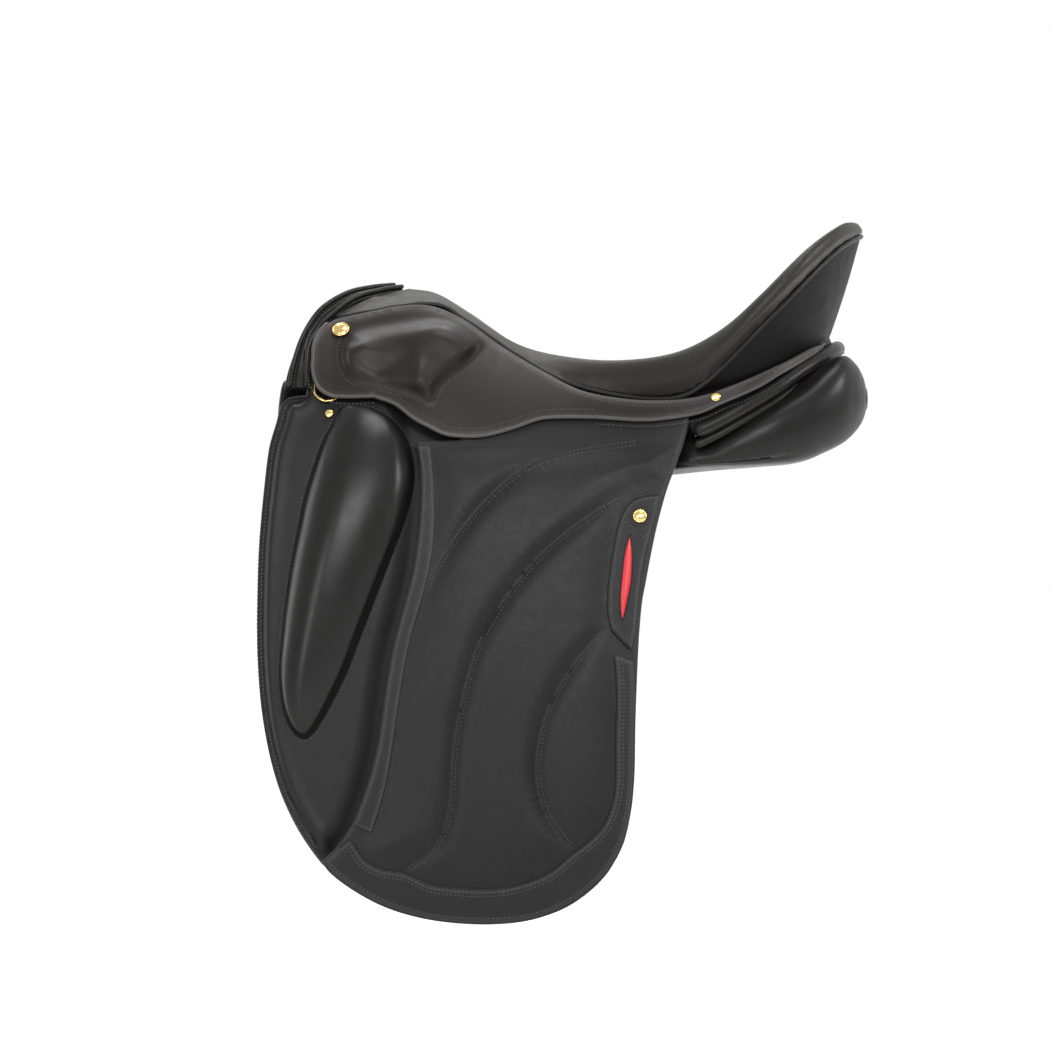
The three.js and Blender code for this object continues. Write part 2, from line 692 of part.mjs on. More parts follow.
const flapRearShares = [[0.617, 0.856], [0.624, 0.840], [0.631, 0.808], [0.634, 0.776], [0.635, 0.728],
  [0.636, 0.696], [0.639, 0.632], [0.642, 0.600], [0.645, 0.584], [0.651, 0.552], [0.658, 0.520], [0.667, 0.488],
  [0.675, 0.466], [0.683, 0.444], [0.687, 0.430]];
const padEdgeShares = [[0.431, 0.447], [0.435, 0.500], [0.432, 0.560], [0.420, 0.605], [0.405, 0.660],
  [0.396, 0.715], [0.386, 0.780], [0.370, 0.830], [0.360, 0.845], [0.366, 0.860], [0.382, 0.868], [0.405, 0.873],
  [0.430, 0.883], [0.480, 0.888], [0.530, 0.881], [0.562, 0.862], [0.590, 0.840], [0.610, 0.812], [0.615, 0.770],
  [0.617, 0.700], [0.612, 0.645], [0.606, 0.618], [0.606, 0.580], [0.613, 0.540], [0.622, 0.505], [0.640, 0.488],
  [0.664, 0.480], [0.678, 0.444]];
const channelShares = [
  [[0.636, 0.441], [0.600, 0.446], [0.560, 0.454], [0.520, 0.471], [0.480, 0.506], [0.450, 0.545],
    [0.430, 0.578], [0.426, 0.588]],
  [[0.652, 0.489], [0.620, 0.498], [0.580, 0.522], [0.540, 0.555], [0.500, 0.605], [0.478, 0.645],
    [0.462, 0.700], [0.453, 0.750], [0.450, 0.800], [0.440, 0.838], [0.425, 0.855], [0.408, 0.867]],
  [[0.603, 0.630], [0.590, 0.643], [0.562, 0.680], [0.542, 0.725], [0.536, 0.775], [0.545, 0.812],
    [0.557, 0.832], [0.569, 0.846]],
];
const padEdge = padEdgeShares.map(([across, down]) => [along(across), height(down)]);
const channels = channelShares.map((line) => smoothLine(line, outlinePitch));

// How far the flap's cushion stands out, with its sewn channels.
function pad(x, z) {
  if (!isInside(padEdge, x, z)) return 0;
  const crown = 1 - Math.exp(-((distanceToLine(padEdge, x, z, true) / flapPadReach) ** 1.4));
  const least = Math.min(...channels.map((line) => distanceToLine(line, x, z, false)));
  const sewn = Math.exp(-((least / channelHalfWidth) ** 2));
  return crown * (flapPad - channelDepth * sewn);
}

// Points along a channel and along both of its shoulders.
function channelPoints(outline) {
  const points = [];
  for (const line of channels) {
    for (let number = 1; number < line.length - 1; number += 1) {
      const [x, z] = line[number];
      const [beforeX, beforeZ] = line[number - 1];
      const [afterX, afterZ] = line[number + 1];
      const length = Math.hypot(afterX - beforeX, afterZ - beforeZ);
      for (const side of [-1, 0, 1]) {
        const reach = side * channelHalfWidth * 1.3 / length;
        const place = [x - (afterZ - beforeZ) * reach, z + (afterX - beforeX) * reach];
        const clear = points.every(([otherX, otherZ]) => Math.hypot(place[0] - otherX, place[1] - otherZ)
          > channelHalfWidth * 0.8);
        if (clear && isInside(outline, ...place) && distanceToLine(outline, ...place, true) > channelHalfWidth * 0.7) {
          points.push(place);
        }
      }
    }
  }
  return points;
}

function flapShape() {
  const fold = below(flapFoldShares, splitGap);
  const front = [fold[0], ...flapFrontShares.slice(1)];
  const rear = [...flapRearShares.slice(0, -1), fold[fold.length - 1]];
  const outline = outlineOf([[...fold].reverse(), front, flapHemShares, rear], outlinePitch);
  const edge = smoothLine([...padEdgeShares, padEdgeShares[0]], outlinePitch);
  const shaped = [...edge.slice(1), ...channelPoints(padEdge)];
  const between = fillPoints(outline, flapPitch * 0.9, [...channels, edge]);
  return sheet({
    outline, outer: pad, inner: () => flapInner,
    outerPoints: [...shaped, ...between], innerPoints: fillPoints(outline, flapPitch),
  });
}

function flapHeadShape() {
  const fold = below(flapFoldShares.slice(1), 0);
  const outline = outlineOf([flapHeadTopShares, [flapHeadTopShares[5], fold[2]], [...fold].reverse()
    .concat([[0.462, 0.4392]]), [[0.462, 0.4392], flapHeadTopShares[0]]], outlinePitch);
  const points = fillPoints(outline, sheetPitch * 0.7);
  return sheet({ outline, outer: () => 0, inner: () => flapInner, outerPoints: points, innerPoints: points });
}

// Sweat flap with the padded forward part that carries the thigh block.

const sweatFrontShares = [[0.298, 0.390], [0.290, 0.392], [0.283, 0.400], [0.278, 0.418], [0.271, 0.440],
  [0.268, 0.456], [0.264, 0.488], [0.261, 0.520], [0.259, 0.552], [0.2575, 0.600], [0.2575, 0.648], [0.260, 0.696],
  [0.265, 0.728], [0.272, 0.760], [0.282, 0.792], [0.297, 0.824], [0.310, 0.846], [0.322, 0.862]];
const sweatHemShares = [[0.322, 0.862], [0.345, 0.876], [0.380, 0.893], [0.440, 0.909], [0.490, 0.912],
  [0.540, 0.904], [0.572, 0.886], [0.590, 0.866]];
const sweatRearShares = [[0.590, 0.866], [0.602, 0.820], [0.608, 0.760], [0.612, 0.700], [0.618, 0.620],
  [0.628, 0.540], [0.640, 0.470], [0.650, 0.424]];
const sweatTopShares = [[0.650, 0.424], [0.600, 0.412], [0.540, 0.408], [0.470, 0.402], [0.420, 0.397],
  [0.375, 0.392], [0.330, 0.390], [0.312, 0.389], [0.298, 0.390]];
const flapFront = smoothLine(flapFrontShares, outlinePitch / 2);

// How far forward of the flap's front edge a point lies.
function aheadOfFlap(x, z) {
  const top = flapFront[0];
  if (z > top[1]) return top[0] - x - (z - top[1]) * forwardLeanShare;
  const last = flapFront[flapFront.length - 1];
  if (z < last[1]) return last[0] - x;
  const index = flapFront.findIndex(([, level]) => level <= z);
  const [x0, z0] = flapFront[Math.max(0, index - 1)];
  const [x1, z1] = flapFront[index];
  return mix(x0, x1, z0 === z1 ? 0 : (z - z0) / (z1 - z0)) - x;
}

const forwardLeanShare = 0.2;
const puckerDepth = 2.4;
const puckerReach = 12;

function sweatOutside(x, z) {
  const ahead = aheadOfFlap(x, z);
  const rise = forwardRise * smooth((ahead - trimGap * 2) / forwardReach);
  const edge = distanceToLine(sweatFront, x, z, false);
  const rolled = puckerDepth * Math.exp(-((edge / puckerReach) ** 2)) * smooth(ahead / forwardReach);
  return sweatOuter + rise - rolled;
}

const sweatFront = smoothLine(sweatFrontShares, outlinePitch);

function sweatFlapShape() {
  const outline = outlineOf([sweatFrontShares, sweatHemShares, sweatRearShares, sweatTopShares], outlinePitch);
  const seat = [...blockLine, ...blockBasePoints];
  const around = fillPoints(outline, sheetPitch * 1.1, [blockLine]).filter(([x, z]) => !isInside(blockLine, x, z));
  const innerPoints = fillPoints(outline, sheetPitch * 1.2);
  return sheet({ outline, outer: sweatOutside, inner: () => sweatInner, outerPoints: [...seat, ...around],
    innerPoints });
}

// Thigh block, standing on the forward part.

const blockShares = [[0.339, 0.4055], [0.346, 0.404], [0.360, 0.404], [0.375, 0.408], [0.390, 0.416],
  [0.400, 0.426], [0.408, 0.438], [0.412, 0.452], [0.4145, 0.470], [0.414, 0.490], [0.409, 0.505], [0.404, 0.520],
  [0.398, 0.540], [0.395, 0.560], [0.385, 0.585], [0.375, 0.605], [0.365, 0.630], [0.355, 0.655], [0.345, 0.675],
  [0.335, 0.695], [0.325, 0.715], [0.315, 0.732], [0.305, 0.738], [0.295, 0.733], [0.285, 0.715], [0.280, 0.690],
  [0.279, 0.665], [0.281, 0.640], [0.284, 0.610], [0.288, 0.580], [0.292, 0.555], [0.297, 0.530], [0.303, 0.500],
  [0.310, 0.475], [0.318, 0.450], [0.3245, 0.434], [0.331, 0.423]];
const blockHeight = 30;
const blockEdge = 3;
const blockCrestShare = 0.42;
const blockSteepShare = 0.55;
const blockTopShare = 0.404;
const blockFootShare = 0.738;

const blockLine = outlineOf([[...blockShares, blockShares[0]]], blockPitch * 0.9);
const blockBasePoints = fillPoints(blockLine, sheetPitch);

// Points just inside an outline, which give a padded piece its drawn-in side.
function insetPoints(outline, distance) {
  const turn = signedArea(outline) > 0 ? 1 : -1;
  return outline.map(([x, z], number) => {
    const [beforeX, beforeZ] = outline[(number + outline.length - 1) % outline.length];
    const [afterX, afterZ] = outline[(number + 1) % outline.length];
    const length = Math.hypot(afterX - beforeX, afterZ - beforeZ);
    const reach = turn * distance / length;
    return [x - (afterZ - beforeZ) * reach, z + (afterX - beforeX) * reach];
  }).filter(([x, z]) => isInside(outline, x, z) && distanceToLine(outline, x, z, true) > distance * 0.7);
}

// The block's rise: round at the front, fullest above the middle, steep towards the rider's leg.
function blockRise(x, z) {
  let front = Infinity;
  let rear = -Infinity;
  blockLine.forEach(([x0, z0], number) => {
    const [x1, z1] = blockLine[(number + 1) % blockLine.length];
    if ((z0 > z) !== (z1 > z)) {
      const crossing = x0 + (x1 - x0) * (z - z0) / (z1 - z0);
      front = Math.min(front, crossing);
      rear = Math.max(rear, crossing);
    }
  });
  if (!(rear > front)) return 0;
  const across = clampShare((x - front) / (rear - front));
  const turn = across < blockCrestShare ? across / blockCrestShare / 2
    : 0.5 + (across - blockCrestShare) / (1 - blockCrestShare) / 2;
  const down = clampShare((height(blockTopShare) - z) / (height(blockTopShare) - height(blockFootShare)));
  const lengthwise = Math.sin(Math.PI * down ** 0.8) ** 0.5;
  return Math.sin(Math.PI * turn) ** blockSteepShare * lengthwise;
}

function blockShape() {
  const base = (x, z) => sweatOutside(x, z) + trimGap;
  const outer = (x, z) => {
    const fade = smooth(distanceToLine(blockLine, x, z, true) / blockEdge);
    return base(x, z) + blockEdge + blockHeight * blockRise(x, z) * fade;
  };
  const shoulder = insetPoints(blockLine, blockEdge);
  const crown = fillPoints(blockLine, blockPitch * 0.85, [[...shoulder, shoulder[0]]]);
  return sheet({
    outline: blockLine, outer, inner: base, outerPoints: [...shoulder, ...crown],
    innerPoints: blockBasePoints,
  });
}

// Trim on the flap: front strip, border band and stirrup-leather keeper.

const stripRearShares = [[0.372, 0.832], [0.382, 0.800], [0.387, 0.780], [0.393, 0.745], [0.397, 0.715],
  [0.401, 0.690], [0.406, 0.660], [0.413, 0.630], [0.420, 0.606], [0.427, 0.580], [0.431, 0.560], [0.434, 0.530],
  [0.434, 0.500], [0.432, 0.465], [0.430, 0.447]];
const stripFrontShares = [[0.418, 0.447], [0.4195, 0.456], [0.422, 0.475], [0.422, 0.500], [0.420, 0.530],
  [0.417, 0.555], [0.413, 0.577], [0.407, 0.600], [0.400, 0.626], [0.394, 0.650], [0.390, 0.672], [0.386, 0.700],
  [0.382, 0.730], [0.378, 0.752], [0.372, 0.776], [0.364, 0.800], [0.355, 0.824]];
const bandInnerShares = [[0.340, 0.848], [0.350, 0.840], [0.358, 0.850], [0.365, 0.860], [0.382, 0.869],
  [0.405, 0.873], [0.430, 0.884], [0.450, 0.887], [0.480, 0.889], [0.507, 0.887], [0.530, 0.881], [0.550, 0.872],
  [0.572, 0.854], [0.590, 0.840], [0.603, 0.826], [0.611, 0.808], [0.615, 0.790], [0.616, 0.740], [0.617, 0.700],
  [0.616, 0.670], [0.614, 0.655]];
const bandOuterShares = [[0.633, 0.662], [0.634, 0.696], [0.633, 0.728], [0.632, 0.776], [0.629, 0.808],
  [0.622, 0.839], [0.615, 0.855], [0.605, 0.871], [0.590, 0.886], [0.568, 0.902], [0.549, 0.911], [0.524, 0.918],
  [0.485, 0.921], [0.440, 0.918], [0.411, 0.912], [0.382, 0.902], [0.354, 0.886], [0.334, 0.871], [0.327, 0.861]];
const keeperShares = [
  [[0.660, 0.495], [0.648, 0.496], [0.635, 0.500], [0.626, 0.508], [0.620, 0.521], [0.615, 0.541],
    [0.611, 0.565], [0.608, 0.590], [0.608, 0.614], [0.611, 0.629]],
  [[0.611, 0.629], [0.621, 0.640], [0.631, 0.650]],
  [[0.631, 0.650], [0.635, 0.632], [0.638, 0.600], [0.642, 0.570], [0.648, 0.543], [0.655, 0.518],
    [0.660, 0.495]],
];
const insetShares = [[0.630, 0.535], [0.632, 0.555], [0.631, 0.580], [0.627, 0.602], [0.622, 0.620],
  [0.620, 0.600], [0.622, 0.575], [0.625, 0.552], [0.630, 0.535]];
const trimInner = (x, z) => pad(x, z) + trimGap;
const trimOuter = (x, z) => trimInner(x, z) + trimThickness;
const insetThickness = 1;

function trimSheet(lines, pitch) {
  const outline = outlineOf(lines, pitch);
  return sheet({ outline, outer: trimOuter, inner: trimInner, outerPoints: [], innerPoints: [] });
}

function flapStripShape() {
  const [rear, front] = [stripRearShares, stripFrontShares];
  return trimSheet([rear, [rear[rear.length - 1], front[0]], front, [front[front.length - 1], rear[0]]],
    outlinePitch);
}

function flapBandShape() {
  const [inner, outer] = [bandInnerShares, bandOuterShares];
  return trimSheet([inner, [inner[inner.length - 1], outer[0]], outer, [outer[outer.length - 1], inner[0]]],
    outlinePitch);
}

const keeperShape = () => trimSheet(keeperShares, outlinePitch);

function keeperInsetShape() {
  const outline = outlineOf([insetShares], outlinePitch * 0.6);
  const inner = (x, z) => trimOuter(x, z) + foamGap;
  return sheet({
    outline, inner, outer: (x, z) => inner(x, z) + insetThickness, outerPoints: [], innerPoints: [],
  });
}

// A place on the near side with its own directions: along, up the surface and outward.
function sideFrame(x, z, offset) {
  const origin = sidePoint(x, z, offset);
  const outward = sidePoint(x, z, offset + surfaceStep).sub(origin).normalize();
  const forward = new THREE.Vector3(1, 0, 0);
  const up = new THREE.Vector3().crossVectors(forward, outward).multiplyScalar(-1).normalize();
  forward.crossVectors(outward, up).multiplyScalar(-1).normalize();
  return new THREE.Matrix4().makeBasis(forward, up, outward).setPosition(origin);
}

// A domed stud: radius and rise, turned about its own axis.
function stud(x, z, offset, radius, rise) {
  const profile = [new THREE.Vector2(0, 0), new THREE.Vector2(radius * studFootShare, 0),
    new THREE.Vector2(radius, rise * 0.3), new THREE.Vector2(radius * 0.9, rise * 0.7),
    new THREE.Vector2(radius * 0.55, rise * 0.95), new THREE.Vector2(0, rise)];
  const turned = new THREE.LatheGeometry(profile, 10);
  turned.deleteAttribute('normal');
  turned.deleteAttribute('uv');
  turned.rotateX(Math.PI / 2);
  return placed(welded(turned), sideFrame(x, z, offset));
}

// Sets a shape into a frame, keeping its faces outward if the frame is a mirror one.
function placed(geometry, matrix) {
  const moved = geometry.clone();
  moved.applyMatrix4(matrix);
  if (matrix.determinant() >= 0) return moved;
  const index = moved.index ? Array.from(moved.index.array)
    : Array.from({ length: moved.attributes.position.count }, (unused, number) => number);
  for (let corner = 0; corner < index.length; corner += 3) {
    [index[corner + 1], index[corner + 2]] = [index[corner + 2], index[corner + 1]];
  }
  moved.setIndex(index);
  return moved;
}

const studFootShare = 0.92;
const skirtStudRadius = 7.4;
const skirtStudRise = 3;
const keeperStudRadius = 5.8;
const keeperStudRise = 2.6;
const nailRadius = 4.2;
const nailRise = 2;
const frontNailRadius = 4;
const frontNailRise = 3;
const dishGap = 0.95;

function skirtStudShape() {
  const place = [along(0.341), height(0.333)];
  return stud(...place, skirtOutside(...place) + dishGap, skirtStudRadius, skirtStudRise);
}

function keeperStudShape() {
  const place = [along(0.640), height(0.517)];
  return stud(...place, trimOuter(...place) + foamGap, keeperStudRadius, keeperStudRise);
}

function tailNailShape() {
  const place = [along(0.716), height(0.398)];
  return stud(...place, skirtOutside(...place) + foamGap, nailRadius, nailRise);
}

function frontNailShape() {
  const place = [along(0.3292), height(0.4115)];
  return stud(...place, sweatOutside(...place) + foamGap, frontNailRadius, frontNailRise);
}

// Panels: two long cushions with the channel for the spine between them.
// Each row: along, then half width and down of inner top, outer top, outer foot and inner foot.
const channelHalfShare = 0.23;
const panelShares = [
  [0.284, 0.400, 0.378, 0.500, 0.382, 0.860, 0.505, 0.740, 0.522],
  [0.320, 0.330, 0.380, 0.440, 0.384, 0.910, 0.520, 0.700, 0.537],
  [0.370, 0.290, 0.386, 0.370, 0.390, 0.920, 0.518, 0.660, 0.536],
  [0.440, 0.260, 0.392, 0.440, 0.396, 0.910, 0.505, 0.620, 0.520],
  [0.540, 0.235, 0.400, 0.560, 0.403, 0.900, 0.480, 0.630, 0.498],
  [0.620, 0.230, 0.403, 0.680, 0.408, 0.920, 0.467, 0.650, 0.486],
  [0.700, 0.230, 0.402, 0.790, 0.436, 0.890, 0.465, 0.600, 0.474],
  [0.760, 0.230, 0.384, 0.780, 0.4135, 0.860, 0.464, 0.540, 0.467],
  [0.805, 0.230, 0.372, 0.610, 0.3850, 0.740, 0.455, 0.480, 0.457],
  [0.840, 0.230, 0.3675, 0.480, 0.376, 0.580, 0.440, 0.380, 0.442],
  [0.862, 0.260, 0.382, 0.390, 0.386, 0.430, 0.424, 0.320, 0.426],
];
const panelSections = 22;
const panelSides = 12;
const panelRoundShare = 0.5;
const panelClear = 1.5;
const panelFreeShare = 0.678;
const panelFreeReach = 18;
const panelFlapClear = 2.4;

// The farthest out that a panel may reach under the sweat flap and the flap.
function panelLimit(x, z) {
  const free = smooth((x - along(panelFreeShare)) / panelFreeReach);
  const offset = mix(sweatInner - panelClear, flapInner - panelFlapClear, free);
  return -sidePoint(x, z, offset).y - sideSlopeTrim(x, z, offset);
}

// The change of half width from the level that the offset moves a point by.
function sideSlopeTrim(x, z, offset) {
  const moved = sidePoint(x, z, offset);
  return sideHalf(x, moved.z) - sideHalf(x, z);
}

function panelShape() {
  const rows = [];
  for (let section = 0; section <= panelSections; section += 1) {
    const place = section / panelSections * (panelShares.length - 1);
    const at = (column) => spline(panelShares.map((row) => row[column]), place);
    const x = along(at(0));
    const corners = [1, 3, 5, 7].map((column) => [half(at(column)), height(at(column + 1))]);
    rows.push(Array.from({ length: panelSides }, (unused, side) => {
      const angle = side / panelSides * Math.PI * 2;
      const round = (value) => Math.sign(value) * Math.abs(value) ** panelRoundShare;
      const across = round(Math.cos(angle)) / 2 + 0.5;
      const up = round(Math.sin(angle)) / 2 + 0.5;
      const [innerTop, outerTop, outerFoot, innerFoot] = corners;
      const read = (axis) => mix(mix(innerFoot[axis], outerFoot[axis], across),
        mix(innerTop[axis], outerTop[axis], across), up);
      const z = read(1);
      const y = x < along(panelEndShare) ? Math.min(read(0), panelLimit(x, z)) : read(0);
      return new THREE.Vector3(x, -y, z);
    }));
  }
  return loft(rows, [panelNose, panelNose]);
}

const panelEndShare = 0.70;
const panelNose = 7;

// A closed body through rings of points, with a pointed cap at each end.
function loft(rings, noses) {
  const points = rings.flat();
  const sides = rings[0].length;
  const triangles = [];
  for (let ring = 0; ring + 1 < rings.length; ring += 1) {
    for (let side = 0; side < sides; side += 1) {
      const next = (side + 1) % sides;
      const [a, b] = [ring * sides + side, ring * sides + next];
      triangles.push([a, b, b + sides], [a, b + sides, a + sides]);
    }
  }
  const middle = (ring) => ring.reduce((sum, point) => sum.add(point), new THREE.Vector3())
    .multiplyScalar(1 / ring.length);
  const first = middle(rings[0]);
  const last = middle(rings[rings.length - 1]);
  const inside = [middle(rings[1]), middle(rings[rings.length - 2])];
  first.addScaledVector(first.clone().sub(inside[0]).normalize(), noses[0]);
  last.addScaledVector(last.clone().sub(inside[1]).normalize(), noses[1]);
  points.push(first, last);
  const end = (rings.length - 1) * sides;
  for (let side = 0; side < sides; side += 1) {
    const next = (side + 1) % sides;
    triangles.push([side, points.length - 2, next]);
    triangles.push([end + side, end + next, points.length - 1]);
  }
  return solid(points, outwardFirst(points, triangles));
}

// Turns all triangles over if they enclose a negative volume.
function outwardFirst(points, triangles) {
  const volume = triangles.reduce((sum, [a, b, c]) => sum + points[a].dot(
    new THREE.Vector3().crossVectors(points[b], points[c])), 0);
  return volume > 0 ? triangles : triangles.map(([a, b, c]) => [a, c, b]);
}

// Welts along the pommel's front edge and round the back.
const pommelShares = [
  [0.285, 0.388, 0.716],
  [0.289, 0.368, 0.635],
  [0.298, 0.342, 0.520],
  [0.312, 0.320, 0.412],
  [0.334, 0.302, 0.325],
  [0.358, 0.293, 0.222],
  [0.379, 0.2895, 0.110],
  [0.389, 0.288, 0.000],
];
const pommelInnerShares = [
  [0.3105, 0.388, 0.716],
  [0.3105, 0.368, 0.660],
  [0.311, 0.350, 0.580],
  [0.317, 0.336, 0.490],
  [0.327, 0.322, 0.420],
  [0.3535, 0.301, 0.305],
  [0.3810, 0.2915, 0.175],
  [0.4025, 0.2875, 0.000],
];
const pommelFacing = 2.2;
const pommelColumns = 20;
const weltRadius = 2;
const weltOuterShare = 0.2;
const weltInnerShare = 0.8;
const backRollShares = [
  [0.694, 0.4325, 0.892],
  [0.715, 0.4232, 0.872],
  [0.740, 0.4092, 0.845],
  [0.770, 0.3914, 0.765],
  [0.796, 0.3735, 0.640],
  [0.818, 0.3593, 0.480],
  [0.834, 0.350, 0.260],
  [0.840, 0.347, 0.000],
];
const backRollShare = 0.00784;
const backWeltShare = 0.00428;
const backWeltDropShare = 0.01318;
const backRollRadius = backRollShare * fieldHeight;
const backWeltRadius = backWeltShare * fieldHeight;
const backWeltDrop = backWeltDropShare * fieldHeight;

const placesOf = (shares) => shares.map(([across, down, out]) => new THREE.Vector3(
  along(across), -half(out), height(down)));

// The front band's outer and inner edges, from the foot up to the centre plane.
function pommelEdges(share) {
  const read = (shares) => {
    const place = share * (shares.length - 1);
    const at = (column) => spline(shares.map((row) => row[column]), place);
    return new THREE.Vector3(along(at(0)), share < 1 ? -half(at(2)) : 0, height(at(1)));
  };
  return [read(pommelShares), read(pommelInnerShares)];
}

// The band's own outward direction.
function pommelOutward(share) {
  const [outer, inner] = pommelEdges(share);
  const step = share > 0.5 ? -edgeShare : edgeShare;
  const beside = pommelEdges(share + step)[0].sub(outer);
  const outward = new THREE.Vector3().crossVectors(beside, inner.sub(outer)).normalize();
  return outward.multiplyScalar(outward.z > 0 ? 1 : -1);
}

function pommelFacingShape() {
  const points = [];
  const grid = (depth) => Array.from({ length: pommelColumns + 1 }, (unused, column) => {
    const share = column / pommelColumns;
    const outward = pommelOutward(share);
    if (column === pommelColumns) outward.setY(0).normalize();
    return pommelEdges(share).map((edge) => points.push(edge.addScaledVector(outward, -depth)) - 1);
  });
  const outside = grid(0);
  const inside = grid(pommelFacing);
  const triangles = [];
  const quad = (a, b, c, d) => triangles.push([a, b, c], [a, c, d]);
  for (let column = 0; column < pommelColumns; column += 1) {
    const [a, b, c, d] = [outside[column], outside[column + 1], inside[column], inside[column + 1]];
    quad(a[0], b[0], b[1], a[1]);
    quad(c[0], c[1], d[1], d[0]);
    quad(a[0], c[0], d[0], b[0]);
    quad(a[1], b[1], d[1], c[1]);
  }
  quad(outside[0][0], outside[0][1], inside[0][1], inside[0][0]);
  return joinedHalves(solid(points, outwardOpen(points, triangles)));
}

// Turns an open half over if it would face inward.
function outwardOpen(points, triangles) {
  const middle = points.reduce((sum, point) => sum.add(point), new THREE.Vector3())
    .multiplyScalar(1 / points.length).setY(0);
  const volume = triangles.reduce((sum, [a, b, c]) => sum + points[a].clone().sub(middle).dot(
    new THREE.Vector3().crossVectors(points[b].clone().sub(middle), points[c].clone().sub(middle))), 0);
  return volume > 0 ? triangles : triangles.map(([a, b, c]) => [a, c, b]);
}

function pommelWeltShape(place) {
  const steps = 14;
  const near = Array.from({ length: steps + 1 }, (unused, number) => {
    const share = number / steps;
    const [outer, inner] = pommelEdges(share);
    return outer.lerp(inner, place).addScaledVector(pommelOutward(share), weltRadius + foamGap);
  });
  near[near.length - 1].y = 0;
  return cord(acrossCentre(near), weltRadius, 5, 36);
}

function backRollShape(drop, radius) {
  const near = placesOf(backRollShares).map((point) => point.add(new THREE.Vector3(0, 0, -drop)));
  near[near.length - 1].y = 0;
  return cord(acrossCentre(near), radius, 6, 32);
}

// Steel gullet plate and stirrup bars.
const gulletShares = [[0.524, 0.414], [0.5235, 0.390], [0.521, 0.368], [0.470, 0.346], [0.360, 0.3335],
  [0.200, 0.3270], [0.000, 0.3250]];
const gulletThickness = 3;
const gulletWidthShare = 0.038;
const gulletFrontShare = 0.360;

// A flat bar bent along a profile across the saddle.
function gulletPlateShape() {
  const near = gulletShares.map(([out, down]) => new THREE.Vector3(-half(out), height(down), 0));
  const far = near.slice(0, -1).reverse().map((point) => new THREE.Vector3(-point.x, point.y, 0));
  const middle = new THREE.CatmullRomCurve3([...near, ...far], false, 'centripetal').getPoints(24);
  const offset = (distance) => middle.map((point, number) => {
    const before = middle[Math.max(0, number - 1)];
    const after = middle[Math.min(middle.length - 1, number + 1)];
    const normal = new THREE.Vector2(-(after.y - before.y), after.x - before.x).normalize();
    return new THREE.Vector2(point.x + normal.x * distance, point.y + normal.y * distance);
  });
  const outline = [...offset(gulletThickness / 2), ...offset(-gulletThickness / 2).reverse()];
  const geometry = new THREE.ExtrudeGeometry(new THREE.Shape(outline), {
    depth: gulletWidthShare * fieldLength, bevelEnabled: false, steps: 1,
  });
  const frame = new THREE.Matrix4().makeBasis(new THREE.Vector3(0, 1, 0), new THREE.Vector3(0, 0, 1),
    new THREE.Vector3(1, 0, 0));
  geometry.applyMatrix4(frame.setPosition(along(gulletFrontShare), 0, 0));
  return geometry;
}

const barPlateOut = 79.5;
const barPlateThickness = 3;
const barSlot = 7;
const barThickness = 6;
const barHeight = 9;
const barPlateHeight = 20;
const barLength = 76;
const barNeck = 9;
const barFrontShare = 0.371;
const barMiddleShare = 0.3755;
const catchLength = 14;
const catchGap = 0.5;
const barStep = 0.8;

// The bar seen from above: back plate, neck in front and an open end behind.
function stirrupBarShape() {
  const front = along(barFrontShare);
  const outerFace = -(barPlateOut + barPlateThickness + barSlot + barThickness);
  const hook = new THREE.Shape([
    new THREE.Vector2(front, -barPlateOut),
    new THREE.Vector2(front, outerFace + barNeck / 3),
    new THREE.Vector2(front + barNeck / 3, outerFace),
    new THREE.Vector2(front + barLength - catchLength, outerFace),
    new THREE.Vector2(front + barLength - catchLength, outerFace + barThickness),
    new THREE.Vector2(front + barNeck, outerFace + barThickness),
    new THREE.Vector2(front + barNeck, -barPlateOut - barPlateThickness),
    new THREE.Vector2(front + barLength, -barPlateOut - barPlateThickness),
    new THREE.Vector2(front + barLength, -barPlateOut),
  ].reverse());
  const hookBody = new THREE.ExtrudeGeometry(hook, { depth: barHeight, bevelEnabled: false });
  hookBody.translate(0, 0, height(barMiddleShare) - barHeight / 2);
  const plate = new THREE.BoxGeometry(barLength - barStep, barPlateThickness - barStep, barPlateHeight);
  plate.translate(front + barLength / 2, -barPlateOut - barPlateThickness / 2, height(barMiddleShare));
  return joined([hookBody, plate]);
}

const manifoldOf = (geometry) => {
  const plain = new THREE.BufferGeometry();
  plain.setAttribute('position', geometry.attributes.position.clone());
  if (geometry.index) plain.setIndex(geometry.index.clone());
  const merged = mergeVertices(plain, surfaceStep / 1000);
  return new wasm.Manifold(new wasm.Mesh({
    numProp: 3,
    vertProperties: new Float32Array(merged.attributes.position.array),
    triVerts: new Uint32Array(merged.index.array),
  }));
};

const geometryOf = (body) => {
  const mesh = body.getMesh();
  const geometry = new THREE.BufferGeometry();
  geometry.setAttribute('position', new THREE.Float32BufferAttribute(mesh.vertProperties, 3));
  geometry.setIndex(Array.from(mesh.triVerts));
  return geometry;
};

const joined = (parts) => geometryOf(parts.map(manifoldOf).reduce((sum, part) => sum.add(part)));

